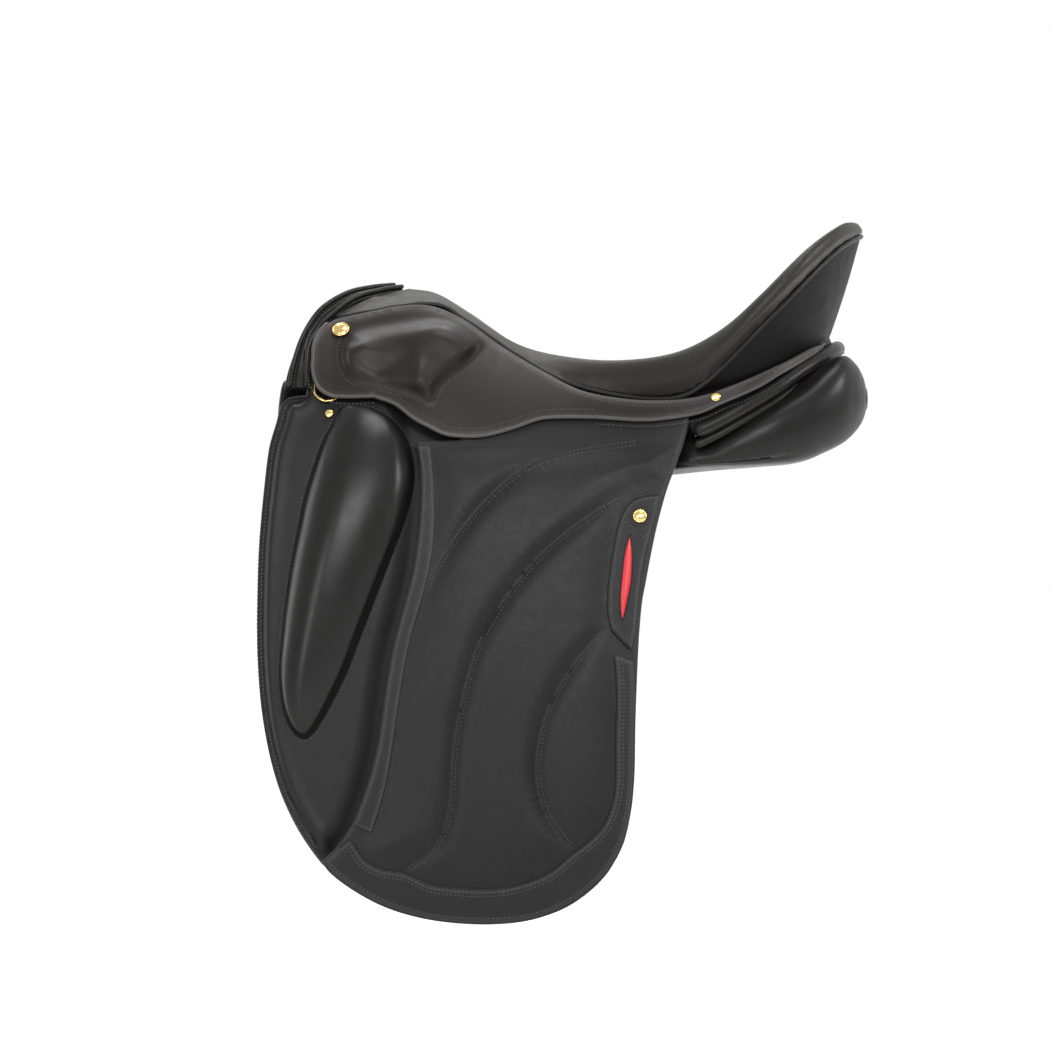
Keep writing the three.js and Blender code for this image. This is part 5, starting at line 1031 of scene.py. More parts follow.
# Skirts: one outline per side, cut along the fold where the lower part of a real skirt lifts.
foldShares = [[0.380, 0.352], [0.450, 0.3729], [0.520, 0.3937], [0.590, 0.4145]]
skirtLift = {"from": (0.375, 0.392), "side": -119.0, "down": (-0.104, 0.0, -0.9946), "reach": 26.0}
bumpLow = [[0.345, 0.336], [0.340, 0.350], [0.341, 0.366], [0.346, 0.377], [0.355, 0.384], [0.370, 0.388],
           [0.390, 0.3915], [0.410, 0.3965], [0.424, 0.403], [0.431, 0.4065], [0.435, 0.399], [0.440, 0.389],
           [0.451, 0.378], [0.465, 0.3675], [0.478, 0.355], [0.489, 0.346]]
bumpHigh = [[0.489, 0.346], [0.470, 0.330], [0.440, 0.317], [0.400, 0.3195], [0.350, 0.3310], [0.345, 0.336]]
moulding = {"height": 10.5, "lowReach": 9.0, "highReach": 26.0, "spot": 3.0}
# fuller and hollower places of the moulding: centre and reach along and down, then the strength
bumpSpots = [
    [0.440, 0.343, 0.026, 0.016, 1.5], [0.361, 0.357, 0.017, 0.007, 0.9], [0.419, 0.383, 0.007, 0.020, 1.1],
    [0.380, 0.378, 0.019, 0.012, -2.0], [0.402, 0.366, 0.012, 0.012, -0.7],
    [0.450, 0.371, 0.010, 0.010, -0.5],
]
bumpLowLine, bumpHighLine = sideLine(bumpLow, 3), sideLine(bumpHigh, 3)
bumpOutline = np.vstack([bumpLowLine[:-1], bumpHighLine[:-1]])


def bump(x, z):
    shape = np.shape(x)
    spots = np.stack([np.ravel(x), np.ravel(z)], 1)
    inside = isInside(bumpOutline, spots)
    low = smooth(nearest(bumpLowLine, spots)[0] / moulding["lowReach"])
    high = smooth(nearest(bumpHighLine, spots)[0] / moulding["highReach"])
    rise = moulding["height"] * low * high
    for spotX, spotZ, reachX, reachZ, strength in bumpSpots:
        high = (spots[:, 1] - height(spotZ)) / (reachZ * fieldHeight)
        across = (spots[:, 0] - along(spotX)) / (reachX * fieldLength)
        rise = rise + moulding["spot"] * strength * low * np.exp(-(across ** 2) - high ** 2)
    return np.where(inside, rise, 0).reshape(shape)


def skirtOutside(x, z):
    return layers["skirtOuter"] + bump(x, z)


def skirtInside(x, z):
    return layers["skirtInner"] + bump(x, z)


def below(rows, drop):
    return [[row[0], row[1] + drop / fieldHeight] for row in rows]


skirtTop = ([[0.326, 0.325], [0.334, 0.321]] + below(skirtTopShares[1:10].tolist(), 5.9)
            + below(skirtTopShares[10:11].tolist(), 4.8) + below(skirtTopShares[11:-2].tolist(), 2.0)
            + [[0.822, 0.343]])
skirtRear = [[0.822, 0.343], [0.815, 0.350], [0.800, 0.360], [0.780, 0.372], [0.760, 0.385], [0.740, 0.395],
             [0.720, 0.404], [0.700, 0.413], [0.660, 0.420], [0.640, 0.421], [0.602, 0.419], [0.595, 0.4187]]
skirtFront = [[0.375, 0.3975], [0.345, 0.398], [0.332, 0.397], [0.322, 0.392], [0.316, 0.385], [0.312, 0.370],
              [0.3125, 0.358], [0.3125, 0.350], [0.3155, 0.338], [0.320, 0.331], [0.326, 0.325]]
skirtLobe = [[0.375, 0.3975], [0.395, 0.405], [0.415, 0.420], [0.430, 0.428], [0.445, 0.435], [0.460, 0.437],
             [0.480, 0.437], [0.510, 0.430], [0.540, 0.420], [0.560, 0.4185], [0.595, 0.4187]]
skirtCut = [[0.380, 0.352], [0.375, 0.3975]]
skirtSeamRear = [[0.565, 0.392], [0.585, 0.398], [0.600, 0.402], [0.630, 0.407], [0.660, 0.408],
                 [0.690, 0.405], [0.712, 0.401]]
skirtLook = {"rim": 1.5, "rings": (0.2, 0.6, 1.4), "pitch": 2.6, "edgeRadius": 1.7, "edgeSunk": 0.6,
             "edgeCordWearAndHighlight": 0.8, "stitchIn": 6.0, "topStitchIn": 3.2, "mouldingStitchOut": 2.2}


def alongSide(line, offset):
    return sidePoint(line[:, 0], line[:, 1], offset(line[:, 0], line[:, 1]))


def longer(line, more=1.6):
    start, end = unit(line[0] - line[1]) * more, unit(line[-1] - line[-2]) * more
    return np.vstack([line[:1] + start, line, line[-1:] + end])


# one hide of the skirt, with a round dyed edge along some of its free lines; the edge cords take a fixed
# share of the lighter edge colour, partly rubbed dye and partly painted highlight
def addSkirt(name, node, edges, body, free, edged):
    look = skirtLook
    points, faces, wearAndHighlight = sheetOf(outlineOf(edges), skirtOutside, skirtInside, look["pitch"], look["rim"],
                                  look["rings"], free=free)
    parts, sunk = [(points, faces, 0)], look["edgeRadius"] * look["edgeSunk"]
    for line in edged:
        middle = alongSide(longer(line), lambda x, z: skirtOutside(x, z) - sunk)
        parts.append(tube(middle, look["edgeRadius"], 10) + (1,))
    part = merged(parts)
    # edge cords get a fixed share of the lighter edge colour: partly rubbed dye, partly painted highlight
    wearAndHighlight = np.concatenate([wearAndHighlight, np.full(len(part[0]) - len(wearAndHighlight), look["edgeCordWearAndHighlight"])])
    addBoth(name, part, [hides["skirtCalf"], hides["trimBridle"]], body, [node], wearAndHighlight=wearAndHighlight,
            tags=part[2])


def buildSkirts():
    look = skirtLook
    top, rear, front, low = [sideLine(line) for line in (skirtTop, skirtRear, skirtFront, skirtLobe)]
    addSkirt("skirt_cover", "skirt_head",
             [skirtTop, skirtRear, [skirtRear[-1], foldShares[-1]], foldShares[::-1], skirtCut, skirtFront],
             "saddle", [top, rear, front], [rear, front])
    share, level = skirtLift["from"]
    start = np.array([float(along(share)), skirtLift["side"], float(height(level))])
    bend = ("saddle", "skirt_SIDE", start, start + np.array(skirtLift["down"]) * skirtLift["reach"])
    addSkirt("skirt_lobe", "skirt",
             [foldShares, [foldShares[-1], skirtLobe[-1]], skirtLobe[::-1], skirtCut[::-1]],
             bend, [low], [low])
    fixed = [sideBeads(resampled(beside(line, reach), 2), skirtOutside)
             for line, reach in ((rear, look["stitchIn"]), (front[:40], look["stitchIn"]),
                                 (top, -look["topStitchIn"]))]
    fixed.append(sideBeads(sideLine(skirtSeamRear), skirtOutside))
    seam = resampled(beside(bumpLowLine, -look["mouldingStitchOut"]), 2)
    cut = sideLine(foldShares + [[0.700, 0.447]])
    upper = seam[:, 1] > np.interp(seam[:, 0], cut[:, 0], cut[:, 1])
    upper |= seam[:, 0] < float(along(0.377))
    edges = np.flatnonzero(np.diff(upper.astype(int)))
    moving = [sideBeads(resampled(beside(low, look["stitchIn"]), 2), skirtOutside)]
    for run, onHead in zip(np.split(seam, edges + 1), upper[np.concatenate([[0], edges + 1])]):
        if len(run) > 3:
            (fixed if onHead else moving).append(sideBeads(run, skirtOutside))
    addStitches("skirt_stitches", fixed)
    addStitches("skirt_lobe_stitches", moving, bend)


buildSkirts()
print("saddle: skirts made")


# Flaps: one piece of leather per side over sewn channels; a real flap bends along the line under the skirt.
flapTop = [[0.460, 0.421], [0.520, 0.4145], [0.575, 0.4115], [0.600, 0.404], [0.660, 0.405], [0.690, 0.404]]
flapFront = [[0.415, 0.441], [0.418, 0.452], [0.420, 0.475], [0.420, 0.500], [0.418, 0.530], [0.415, 0.555],
             [0.411, 0.577], [0.405, 0.600], [0.398, 0.626], [0.392, 0.650], [0.388, 0.672], [0.384, 0.700],
             [0.380, 0.730], [0.376, 0.752], [0.370, 0.776], [0.362, 0.800], [0.352, 0.824], [0.337, 0.846],
             [0.322, 0.861]]
flapHem = [[0.322, 0.861], [0.331, 0.872], [0.352, 0.888], [0.381, 0.904], [0.410, 0.914], [0.440, 0.920],
           [0.485, 0.923], [0.524, 0.920], [0.550, 0.913], [0.570, 0.904], [0.592, 0.888], [0.607, 0.872],
           [0.617, 0.856]]
flapRear = [[0.617, 0.856], [0.624, 0.840], [0.631, 0.808], [0.634, 0.776], [0.635, 0.728], [0.636, 0.696],
            [0.639, 0.632], [0.642, 0.600], [0.645, 0.584], [0.651, 0.552], [0.658, 0.520], [0.667, 0.488],
            [0.675, 0.466], [0.683, 0.444], [0.687, 0.430]]
padEdge = [[0.431, 0.447], [0.435, 0.500], [0.432, 0.560], [0.420, 0.605], [0.405, 0.660], [0.396, 0.715],
           [0.386, 0.780], [0.370, 0.830], [0.360, 0.845], [0.366, 0.860], [0.382, 0.868], [0.405, 0.873],
           [0.430, 0.883], [0.480, 0.888], [0.530, 0.881], [0.562, 0.862], [0.590, 0.840], [0.610, 0.812],
           [0.615, 0.770], [0.617, 0.700], [0.612, 0.645], [0.606, 0.618], [0.606, 0.580], [0.613, 0.540],
           [0.622, 0.505], [0.640, 0.488], [0.664, 0.480], [0.678, 0.444]]
channelShares = [
    [[0.636, 0.441], [0.600, 0.446], [0.560, 0.454], [0.520, 0.471], [0.480, 0.506], [0.450, 0.545],
     [0.430, 0.578], [0.426, 0.588]],
    [[0.652, 0.489], [0.620, 0.498], [0.580, 0.522], [0.540, 0.555], [0.500, 0.605], [0.478, 0.645],
     [0.462, 0.700], [0.453, 0.750], [0.450, 0.800], [0.440, 0.838], [0.425, 0.855], [0.408, 0.867]],
    [[0.603, 0.630], [0.590, 0.643], [0.562, 0.680], [0.542, 0.725], [0.536, 0.775], [0.545, 0.812],
     [0.557, 0.832], [0.569, 0.846]],
]
quilting = {"pad": 6.0, "reach": 19.0, "depth": 5.5, "wide": 8.5, "wideShare": 0.62, "narrow": 2.2,
            "narrowShare": 0.38, "pucker": 0.35, "pitch": 7.0, "puckerIn": 5, "puckerReach": 3.5}
padLine = np.array([[float(along(x)), float(height(z))] for x, z in padEdge])
channels = [sideLine(line, 4) for line in channelShares]


def pad(x, z):
    look = quilting
    spots = np.stack([np.ravel(x), np.ravel(z)], 1)
    crown = 1 - np.exp(-((nearest(padLine, spots, True)[0] / look["reach"]) ** 1.4))
    distances, places = zip(*[nearest(line, spots) for line in channels])
    least = np.min(distances, axis=0)
    where = np.choose(np.argmin(distances, axis=0), places)
    sewn = (look["wideShare"] * np.exp(-((least / look["wide"]) ** 2))
            + look["narrowShare"] * np.exp(-least / look["narrow"]))
    drawn = (look["pucker"] * np.sin(where / look["pitch"] * 2 * math.pi)
             * np.exp(-((least - look["puckerIn"]) / look["puckerReach"]) ** 2))
    rise = crown * (look["pad"] - look["depth"] * sewn + drawn)
    return np.where(isInside(padLine, spots), rise, 0).reshape(np.shape(x))


hinge = {"place": np.array([-41.5, -134.0, 26.5]), "down": np.array([0.03927, 0.0, -0.99923])}
flapBend = ("saddle", "flap_SIDE", hinge["place"] - hinge["down"] * 8, hinge["place"] + hinge["down"] * 6)
flapLook = {"pitch": 2.5, "rim": 1.9, "rowGap": 3.4, "rearStitchIn": 3.0, "rearStitchFoot": 0.52}


def buildFlaps():
    corner = [0.4602, 0.4392]
    outline = outlineOf([flapTop, [flapTop[-1], flapRear[-1]], flapRear[::-1], flapHem[::-1], flapFront[::-1],
                         [flapFront[0], corner], [corner, flapTop[0]]])
    part = sheetOf(outline, pad, lambda x, z: layers["flapInner"], flapLook["pitch"], flapLook["rim"])
    addBoth("flap_leather", part[:2], [hides["flapCowhide"]], flapBend, ["flap_head", "flap"],
            wearAndHighlight=part[2])
    lines = []
    for line in channels:
        fine = resampled(line, 2)
        lines += [sideBeads(fine, pad), sideBeads(beside(fine, flapLook["rowGap"]), pad)]
    rear = sideLine(flapRear)
    upper = rear[rear[:, 1] > float(height(flapLook["rearStitchFoot"]))]
    lines.append(sideBeads(resampled(beside(upper, flapLook["rearStitchIn"]), 2), pad))
    addStitches("flap_stitches", lines, flapBend)


stripRear = [[0.372, 0.832], [0.382, 0.800], [0.387, 0.780], [0.393, 0.745], [0.397, 0.715], [0.401, 0.690],
             [0.406, 0.660], [0.413, 0.630], [0.420, 0.606], [0.427, 0.580], [0.431, 0.560], [0.434, 0.530],
             [0.434, 0.500], [0.432, 0.465], [0.430, 0.447]]
stripFront = [[0.418, 0.447], [0.4195, 0.456], [0.422, 0.475], [0.422, 0.500], [0.420, 0.530], [0.417, 0.555],
              [0.413, 0.577], [0.407, 0.600], [0.400, 0.626], [0.394, 0.650], [0.390, 0.672], [0.386, 0.700],
              [0.382, 0.730], [0.378, 0.752], [0.372, 0.776], [0.364, 0.800], [0.355, 0.824]]
bandInner = [[0.340, 0.848], [0.350, 0.840], [0.358, 0.850], [0.365, 0.860], [0.382, 0.869], [0.405, 0.873],
             [0.430, 0.884], [0.450, 0.887], [0.480, 0.889], [0.507, 0.887], [0.530, 0.881], [0.550, 0.872],
             [0.572, 0.854], [0.590, 0.840], [0.603, 0.826], [0.611, 0.808], [0.615, 0.790], [0.616, 0.740],
             [0.617, 0.700], [0.616, 0.670], [0.614, 0.655]]
bandOuter = [[0.633, 0.662], [0.634, 0.696], [0.633, 0.728], [0.632, 0.776], [0.629, 0.808], [0.622, 0.839],
             [0.615, 0.855], [0.605, 0.871], [0.590, 0.886], [0.568, 0.902], [0.549, 0.911], [0.524, 0.918],
             [0.485, 0.921], [0.440, 0.918], [0.411, 0.912], [0.382, 0.902], [0.354, 0.886], [0.334, 0.871],
             [0.327, 0.861]]
keeperLines = [
    [[0.660, 0.495], [0.648, 0.496], [0.635, 0.500], [0.626, 0.508], [0.620, 0.521], [0.615, 0.541],
     [0.611, 0.565], [0.608, 0.590], [0.608, 0.614], [0.611, 0.629]],
    [[0.611, 0.629], [0.621, 0.640], [0.631, 0.650]],
    [[0.631, 0.650], [0.635, 0.632], [0.638, 0.600], [0.642, 0.570], [0.648, 0.543], [0.655, 0.518],
     [0.660, 0.495]],
]
inset = [[0.630, 0.535], [0.632, 0.555], [0.631, 0.580], [0.627, 0.602], [0.622, 0.620], [0.620, 0.600],
         [0.622, 0.575], [0.625, 0.552], [0.630, 0.535]]


keeperDivider = [[0.621, 0.519], [0.633, 0.529], [0.645, 0.538]]
keeperFold = [[0.6105, 0.628], [0.621, 0.639], [0.6305, 0.649]]
trimLook = {"pitch": 3.0, "rim": 0.8, "rings": (0.2, 0.5, 0.9), "stripIn": 1.9, "keeperIn": 2.2}
insetLook = {"pitch": 1.4, "rim": 0.5, "rings": (0.2, 0.45, 0.9), "base": 0.5, "dome": 1.3, "reach": 2.2,
             "wearAndHighlight": 0.4, "cordRadius": 0.65, "cordLift": 0.25}


def onFlap(x, z):
    return pad(x, z) + layers["trimGap"]


def onTrim(x, z):
    return onFlap(x, z) + layers["trim"]


def onKeeper(x, z):
    return onTrim(x, z) + 0.15


# a strip sewn flat on the flap, with its rows of stitches
def addTrim(name, node, lines, rows):
    outline = outlineOf(lines, 2)
    part = sheetOf(outline, onTrim, onFlap, trimLook["pitch"], trimLook["rim"], trimLook["rings"])
    addBoth(name, part[:2], [hides["flapCowhide"]], "flap_SIDE", [node], wearAndHighlight=part[2])
    addStitches(f"{name}_stitches", [sideBeads(resampled(row, 2), onTrim) for row in rows], "flap_SIDE")


# a round cord on the flap, sunk by a share of the trim's thickness
def addTrimCord(name, line, radius, share):
    path = alongSide(line, lambda x, z: onFlap(x, z) + layers["trim"] * share)
    addBoth(name, tube(path, radius, 10), [hides["trimBridle"]], "flap_SIDE")


def buildTrims():
    rear, front, inner, outer = [sideLine(line) for line in (stripRear, stripFront, bandInner, bandOuter)]
    addTrim("front_strip", "flap_strip",
            [stripRear, [stripRear[-1], stripFront[0]], stripFront, [stripFront[-1], stripRear[0]]],
            [beside(line, trimLook["stripIn"]) for line in (rear, front)])
    addTrim("hem_band", "flap_band",
            [bandInner, [bandInner[-1], bandOuter[0]], bandOuter, [bandOuter[-1], bandInner[0]]],
            [beside(inner, -2.6), beside(outer, -3.0), beside(inner, -5.6)])
    addTrimCord("hem_band_cord", inner, 0.95, 0.7)
    edge = [sideLine(line) for line in keeperLines]
    addTrim("leather_keeper", "keeper", keeperLines,
            [beside(line, trimLook["keeperIn"]) for line in edge] + [sideLine(keeperDivider)])
    addTrimCord("leather_keeper_cord", beside(edge[0], 0.4), 0.9, 0.8)
    addTrimCord("leather_keeper_fold", sideLine(keeperFold), 1.3, 1)
    look, outline = insetLook, sideLine(inset, 1.5)[:-1]

    def domed(x, z):
        rise = look["dome"] * (1 - np.exp(-distanceTo(outline, x, z, True) / look["reach"]))
        return onKeeper(x, z) + look["base"] + rise

    part = sheetOf(outline, domed, onKeeper, look["pitch"], look["rim"], look["rings"])
    addBoth("red_inset", part[:2], [hides["redPatent"]], "flap_SIDE", ["keeper_inset"],
            wearAndHighlight=part[2] * look["wearAndHighlight"])
    around = np.vstack([outline, outline[:1]])
    rim = alongSide(around, lambda x, z: onKeeper(x, z) + look["cordLift"])[:-1]
    addBoth("red_inset_rim", tube(rim, look["cordRadius"], 8, closed=True), [hides["trimBridle"]],
            "flap_SIDE")


buildFlaps()
buildTrims()
print("saddle: flaps made")

# Sweat flaps with their padded forward part.
sweatFront = [[0.296, 0.390], [0.287, 0.392], [0.279, 0.400], [0.2735, 0.418], [0.2665, 0.440],
              [0.2635, 0.456], [0.2595, 0.488], [0.256, 0.520], [0.2535, 0.552], [0.252, 0.600],
              [0.252, 0.648], [0.2555, 0.696], [0.2605, 0.728], [0.268, 0.760], [0.279, 0.792],
              [0.295, 0.824], [0.3095, 0.846], [0.322, 0.862]]
sweatHem = [[0.322, 0.862], [0.345, 0.876], [0.380, 0.893], [0.440, 0.909], [0.490, 0.912], [0.540, 0.904],
            [0.572, 0.886], [0.590, 0.866]]
sweatRear = [[0.590, 0.866], [0.602, 0.820], [0.608, 0.760], [0.612, 0.700], [0.618, 0.620], [0.628, 0.540],
             [0.640, 0.470], [0.650, 0.424]]
sweatTop = [[0.650, 0.424], [0.600, 0.412], [0.540, 0.408], [0.470, 0.402], [0.420, 0.397], [0.375, 0.392],
            [0.330, 0.390], [0.312, 0.389], [0.296, 0.390]]
sweatLook = {"pitch": 2.6, "rim": 2.2, "wearAndHighlight": 0.7, "frontStitchIn": (1.6, 5.2), "hemStitchIn": 5.0}
forward = {"rise": 7.0, "reach": 20.0, "lean": 0.2, "rolled": 3.2, "binding": 6.6, "groove": 0.9,
           "crown": 0.8, "fold": 0.8, "ridge": 2.0, "ridgeIn": 14.0}
frontEdge = sideLine(flapFront, 5)
sweatEdge = sideLine(sweatFront, 4)


def aheadOfFlap(x, z):
    top, last = frontEdge[0], frontEdge[-1]
    edge = np.interp(z, frontEdge[::-1, 1], frontEdge[::-1, 0])
    above = top[0] - x - (z - top[1]) * forward["lean"]
    return np.where(z > top[1], above, np.where(z < last[1], last[0] - x, edge - x))


def sweatBase(x, z):
    ahead = aheadOfFlap(x, z)
    return layers["sweatOuter"] + forward["rise"] * smooth((ahead - 1.2) / forward["reach"])


def sweatOutside(x, z):
    spots = np.stack([np.ravel(x), np.ravel(z)], 1)
    edge, place = [value.reshape(np.shape(x)) for value in nearest(sweatEdge, spots)]
    inFront = smooth(aheadOfFlap(x, z) / forward["reach"])
    rolled = forward["rolled"] * (1 - smooth((edge - forward["binding"]) / 7.0))
    groove = forward["groove"] * np.exp(-(((edge - forward["binding"]) / 1.1) ** 2))
    crown = forward["crown"] * np.sin(math.pi * np.clip(edge / forward["binding"], 0, 1)) ** 0.7
    folds = forward["fold"] * np.sin(place / 6.5) * np.exp(-((edge - 15) / 9) ** 2) * np.exp(-place / 34)
    ridge = forward["ridge"] * np.exp(-(((edge - forward["ridgeIn"]) / 5.5) ** 2))
    return sweatBase(x, z) - (rolled + groove - crown - ridge) * inFront + folds * inFront


def buildSweatFlaps():
    outline = outlineOf([sweatFront, sweatHem, sweatRear, sweatTop])
    part = sheetOf(outline, sweatOutside, lambda x, z: layers["sweatInner"], sweatLook["pitch"],
                   sweatLook["rim"])
    addBoth("sweat_leather", part[:2], [hides["flapCowhide"]], "saddle", ["sweat_flap"],
            wearAndHighlight=part[2] * sweatLook["wearAndHighlight"])
    front = resampled(sideLine(sweatFront), 2)
    rows = [sideBeads(beside(front, reach)[3:], sweatOutside) for reach in sweatLook["frontStitchIn"]]
    hem = beside(sideLine(sweatHem[2:]), sweatLook["hemStitchIn"])
    rows.append(sideBeads(resampled(hem, 2), sweatOutside))
    addStitches("sweat_stitches", rows)


buildSweatFlaps()

# Thigh blocks: moulded foam under tight calf, fullest above the middle, steep towards the rider's leg.
blockShares = [[0.339, 0.4055], [0.346, 0.404], [0.360, 0.404], [0.375, 0.408], [0.390, 0.416],
               [0.400, 0.426], [0.408, 0.438], [0.412, 0.452], [0.4145, 0.470], [0.4125, 0.490],
               [0.4045, 0.520], [0.394, 0.550], [0.3825, 0.580], [0.371, 0.610], [0.3595, 0.640],
               [0.348, 0.670], [0.3335, 0.700], [0.323, 0.719], [0.314, 0.732], [0.305, 0.738],
               [0.295, 0.733], [0.285, 0.715], [0.280, 0.690], [0.279, 0.665], [0.281, 0.640],
               [0.284, 0.610], [0.288, 0.580], [0.292, 0.555], [0.297, 0.530], [0.303, 0.500],
               [0.310, 0.475], [0.318, 0.450], [0.3245, 0.434], [0.331, 0.423]]
blockLook = {"height": 30.0, "edge": 3.0, "ease": 1.6, "crest": 0.42, "steep": 0.55, "top": 0.404,
             "foot": 0.738, "gap": 0.4, "fill": 0.95, "wearAndHighlight": 0.3, "pitch": 3.0, "stitchOut": 1.8,
             "rings": (0.15, 0.4, 0.8, 1.4, 2.2, 3.2, 4.5, 6.2)}
blockLine = outlineOf([blockShares + blockShares[:1]], 3)


def blockRise(x, z):
    starts, ends = blockLine, np.roll(blockLine, -1, 0)
    front, rear = np.full(len(x), np.inf), np.full(len(x), -np.inf)
    for (x0, z0), (x1, z1) in zip(starts, ends):
        crosses = (z0 > z) != (z1 > z)
        where = x0 + (x1 - x0) * (z - z0) / ((z1 - z0) or 1)
        front = np.where(crosses, np.minimum(front, where), front)
        rear = np.where(crosses, np.maximum(rear, where), rear)
    wide = np.maximum(rear - front, 1e-3)
    across = np.clip(np.where(np.isfinite(wide), (x - front) / wide, 0), 0, 1)
    crest = blockLook["crest"]
    turn = np.where(across < crest, across / crest / 2, 0.5 + (across - crest) / (1 - crest) / 2)
    top, foot = height(blockLook["top"]), height(blockLook["foot"])
    down = np.clip((top - z) / (top - foot), 0, 1)
    return np.sin(math.pi * turn) ** blockLook["steep"] * np.sin(math.pi * down ** 0.8) ** 0.5


def blockBase(x, z):
    return sweatOutside(x, z) + blockLook["gap"]


def buildBlocks():
    look = blockLook

    def outside(x, z):
        distance = distanceTo(blockLine, x, z, True)
        rise = look["height"] * blockRise(x, z) * smooth(distance / look["edge"] / look["ease"])
        return blockBase(x, z) + look["edge"] * quarterRound(distance / look["edge"]) + rise

    part = sheetOf(blockLine, outside, blockBase, look["pitch"], 0.01, look["rings"])
    blocks = addBoth("block_pad", part[:2], [hides["blockCalf"]], "saddle", ["thigh_block"],
                     wearAndHighlight=part[2] * look["wearAndHighlight"], angle=70)
    around = np.vstack([blockLine, blockLine[:1]])
    turn = 1 if signedArea(blockLine) < 0 else -1
    seam = resampled(beside(around, turn * look["stitchOut"]), 2)
    addStitches("block_stitches", [sideBeads(seam, sweatOutside)])


buildBlocks()
print("saddle: sweat flaps and blocks made")

# Panels: two flocked cushions with the channel for the spine between them.
# each row: share along, then half width and level of the inner top, outer top, outer foot and inner foot
panelRows = np.array([
    [0.284, 0.400, 0.378, 0.500, 0.382, 0.860, 0.505, 0.740, 0.522],
    [0.320, 0.330, 0.380, 0.440, 0.384, 0.910, 0.520, 0.700, 0.537],
    [0.370, 0.290, 0.386, 0.370, 0.390, 0.920, 0.518, 0.660, 0.536],
    [0.440, 0.260, 0.392, 0.440, 0.396, 0.910, 0.505, 0.620, 0.520],
    [0.540, 0.235, 0.400, 0.560, 0.403, 0.900, 0.480, 0.630, 0.498],
    [0.620, 0.230, 0.403, 0.680, 0.408, 0.920, 0.467, 0.650, 0.486],
    [0.700, 0.230, 0.402, 0.790, 0.436, 0.890, 0.465, 0.600, 0.474],
    [0.760, 0.230, 0.384, 0.830, 0.4090, 0.850, 0.465, 0.540, 0.467],
    [0.800, 0.230, 0.372, 0.760, 0.3820, 0.780, 0.461, 0.480, 0.463],
    [0.826, 0.220, 0.363, 0.680, 0.3610, 0.700, 0.451, 0.400, 0.453],
    [0.845, 0.215, 0.358, 0.590, 0.3515, 0.600, 0.441, 0.345, 0.443],
    [0.857, 0.220, 0.365, 0.480, 0.3600, 0.490, 0.430, 0.310, 0.432],
    [0.8645, 0.230, 0.376, 0.385, 0.3730, 0.395, 0.419, 0.285, 0.421],
    [0.8685, 0.240, 0.389, 0.310, 0.3870, 0.320, 0.408, 0.265, 0.409],
])
panelLook = {"sections": 110, "sides": 72, "clear": 1.5, "flapClear": 2.4, "noses": (7.0, 1.2), "fill": 0.9,
             "bulge": 7.0, "seam": 0.9, "seamAt": (2.356, 5.498), "seamReach": 0.10, "pucker": 0.35,
             "puckerPitch": 17.0, "puckerReach": 0.35, "sewnTo": 0.775, "weltRadius": 1.3, "weltSunk": 0.8}


def panelLimit(x, z):
    free = smooth((x - along(0.678)) / 18)
    underSweat = layers["sweatInner"] - panelLook["clear"]
    underFlap = layers["flapInner"] - panelLook["flapClear"]
    moved = sidePoint(x, z, mix(underSweat, underFlap, free))
    return -moved[:, 1] - (sideHalf(x, moved[:, 2]) - sideHalf(x, z))


def panelRing(place, angles):
    row = [splineAt(panelRows[:, column], np.array([place]))[0] for column in range(9)]
    x = np.full(len(angles), float(along(row[0])))
    corners = [np.array([float(half(row[column])), float(height(row[column + 1]))])
               for column in (1, 3, 5, 7)]
    power = 0.5 + 0.3 * float(smooth((x[0] - along(0.74)) / 80))
    across = np.sign(np.cos(angles)) * np.abs(np.cos(angles)) ** power / 2 + 0.5
    up = np.sign(np.sin(angles)) * np.abs(np.sin(angles)) ** power / 2 + 0.5
    innerTop, outerTop, outerFoot, innerFoot = corners
    low, high = mix(innerFoot, outerFoot, across[:, None]), mix(innerTop, outerTop, across[:, None])
    spot = mix(low, high, up[:, None])
    y, z = spot[:, 0], spot[:, 1]
    y = y + panelLook["bulge"] * float(smooth((x[0] - along(0.70)) / 30)) * across * np.sin(math.pi * up)
    if x[0] < along(0.70):
        y = np.minimum(y, panelLimit(x, z))
    return np.stack([x, -y, z], 1)


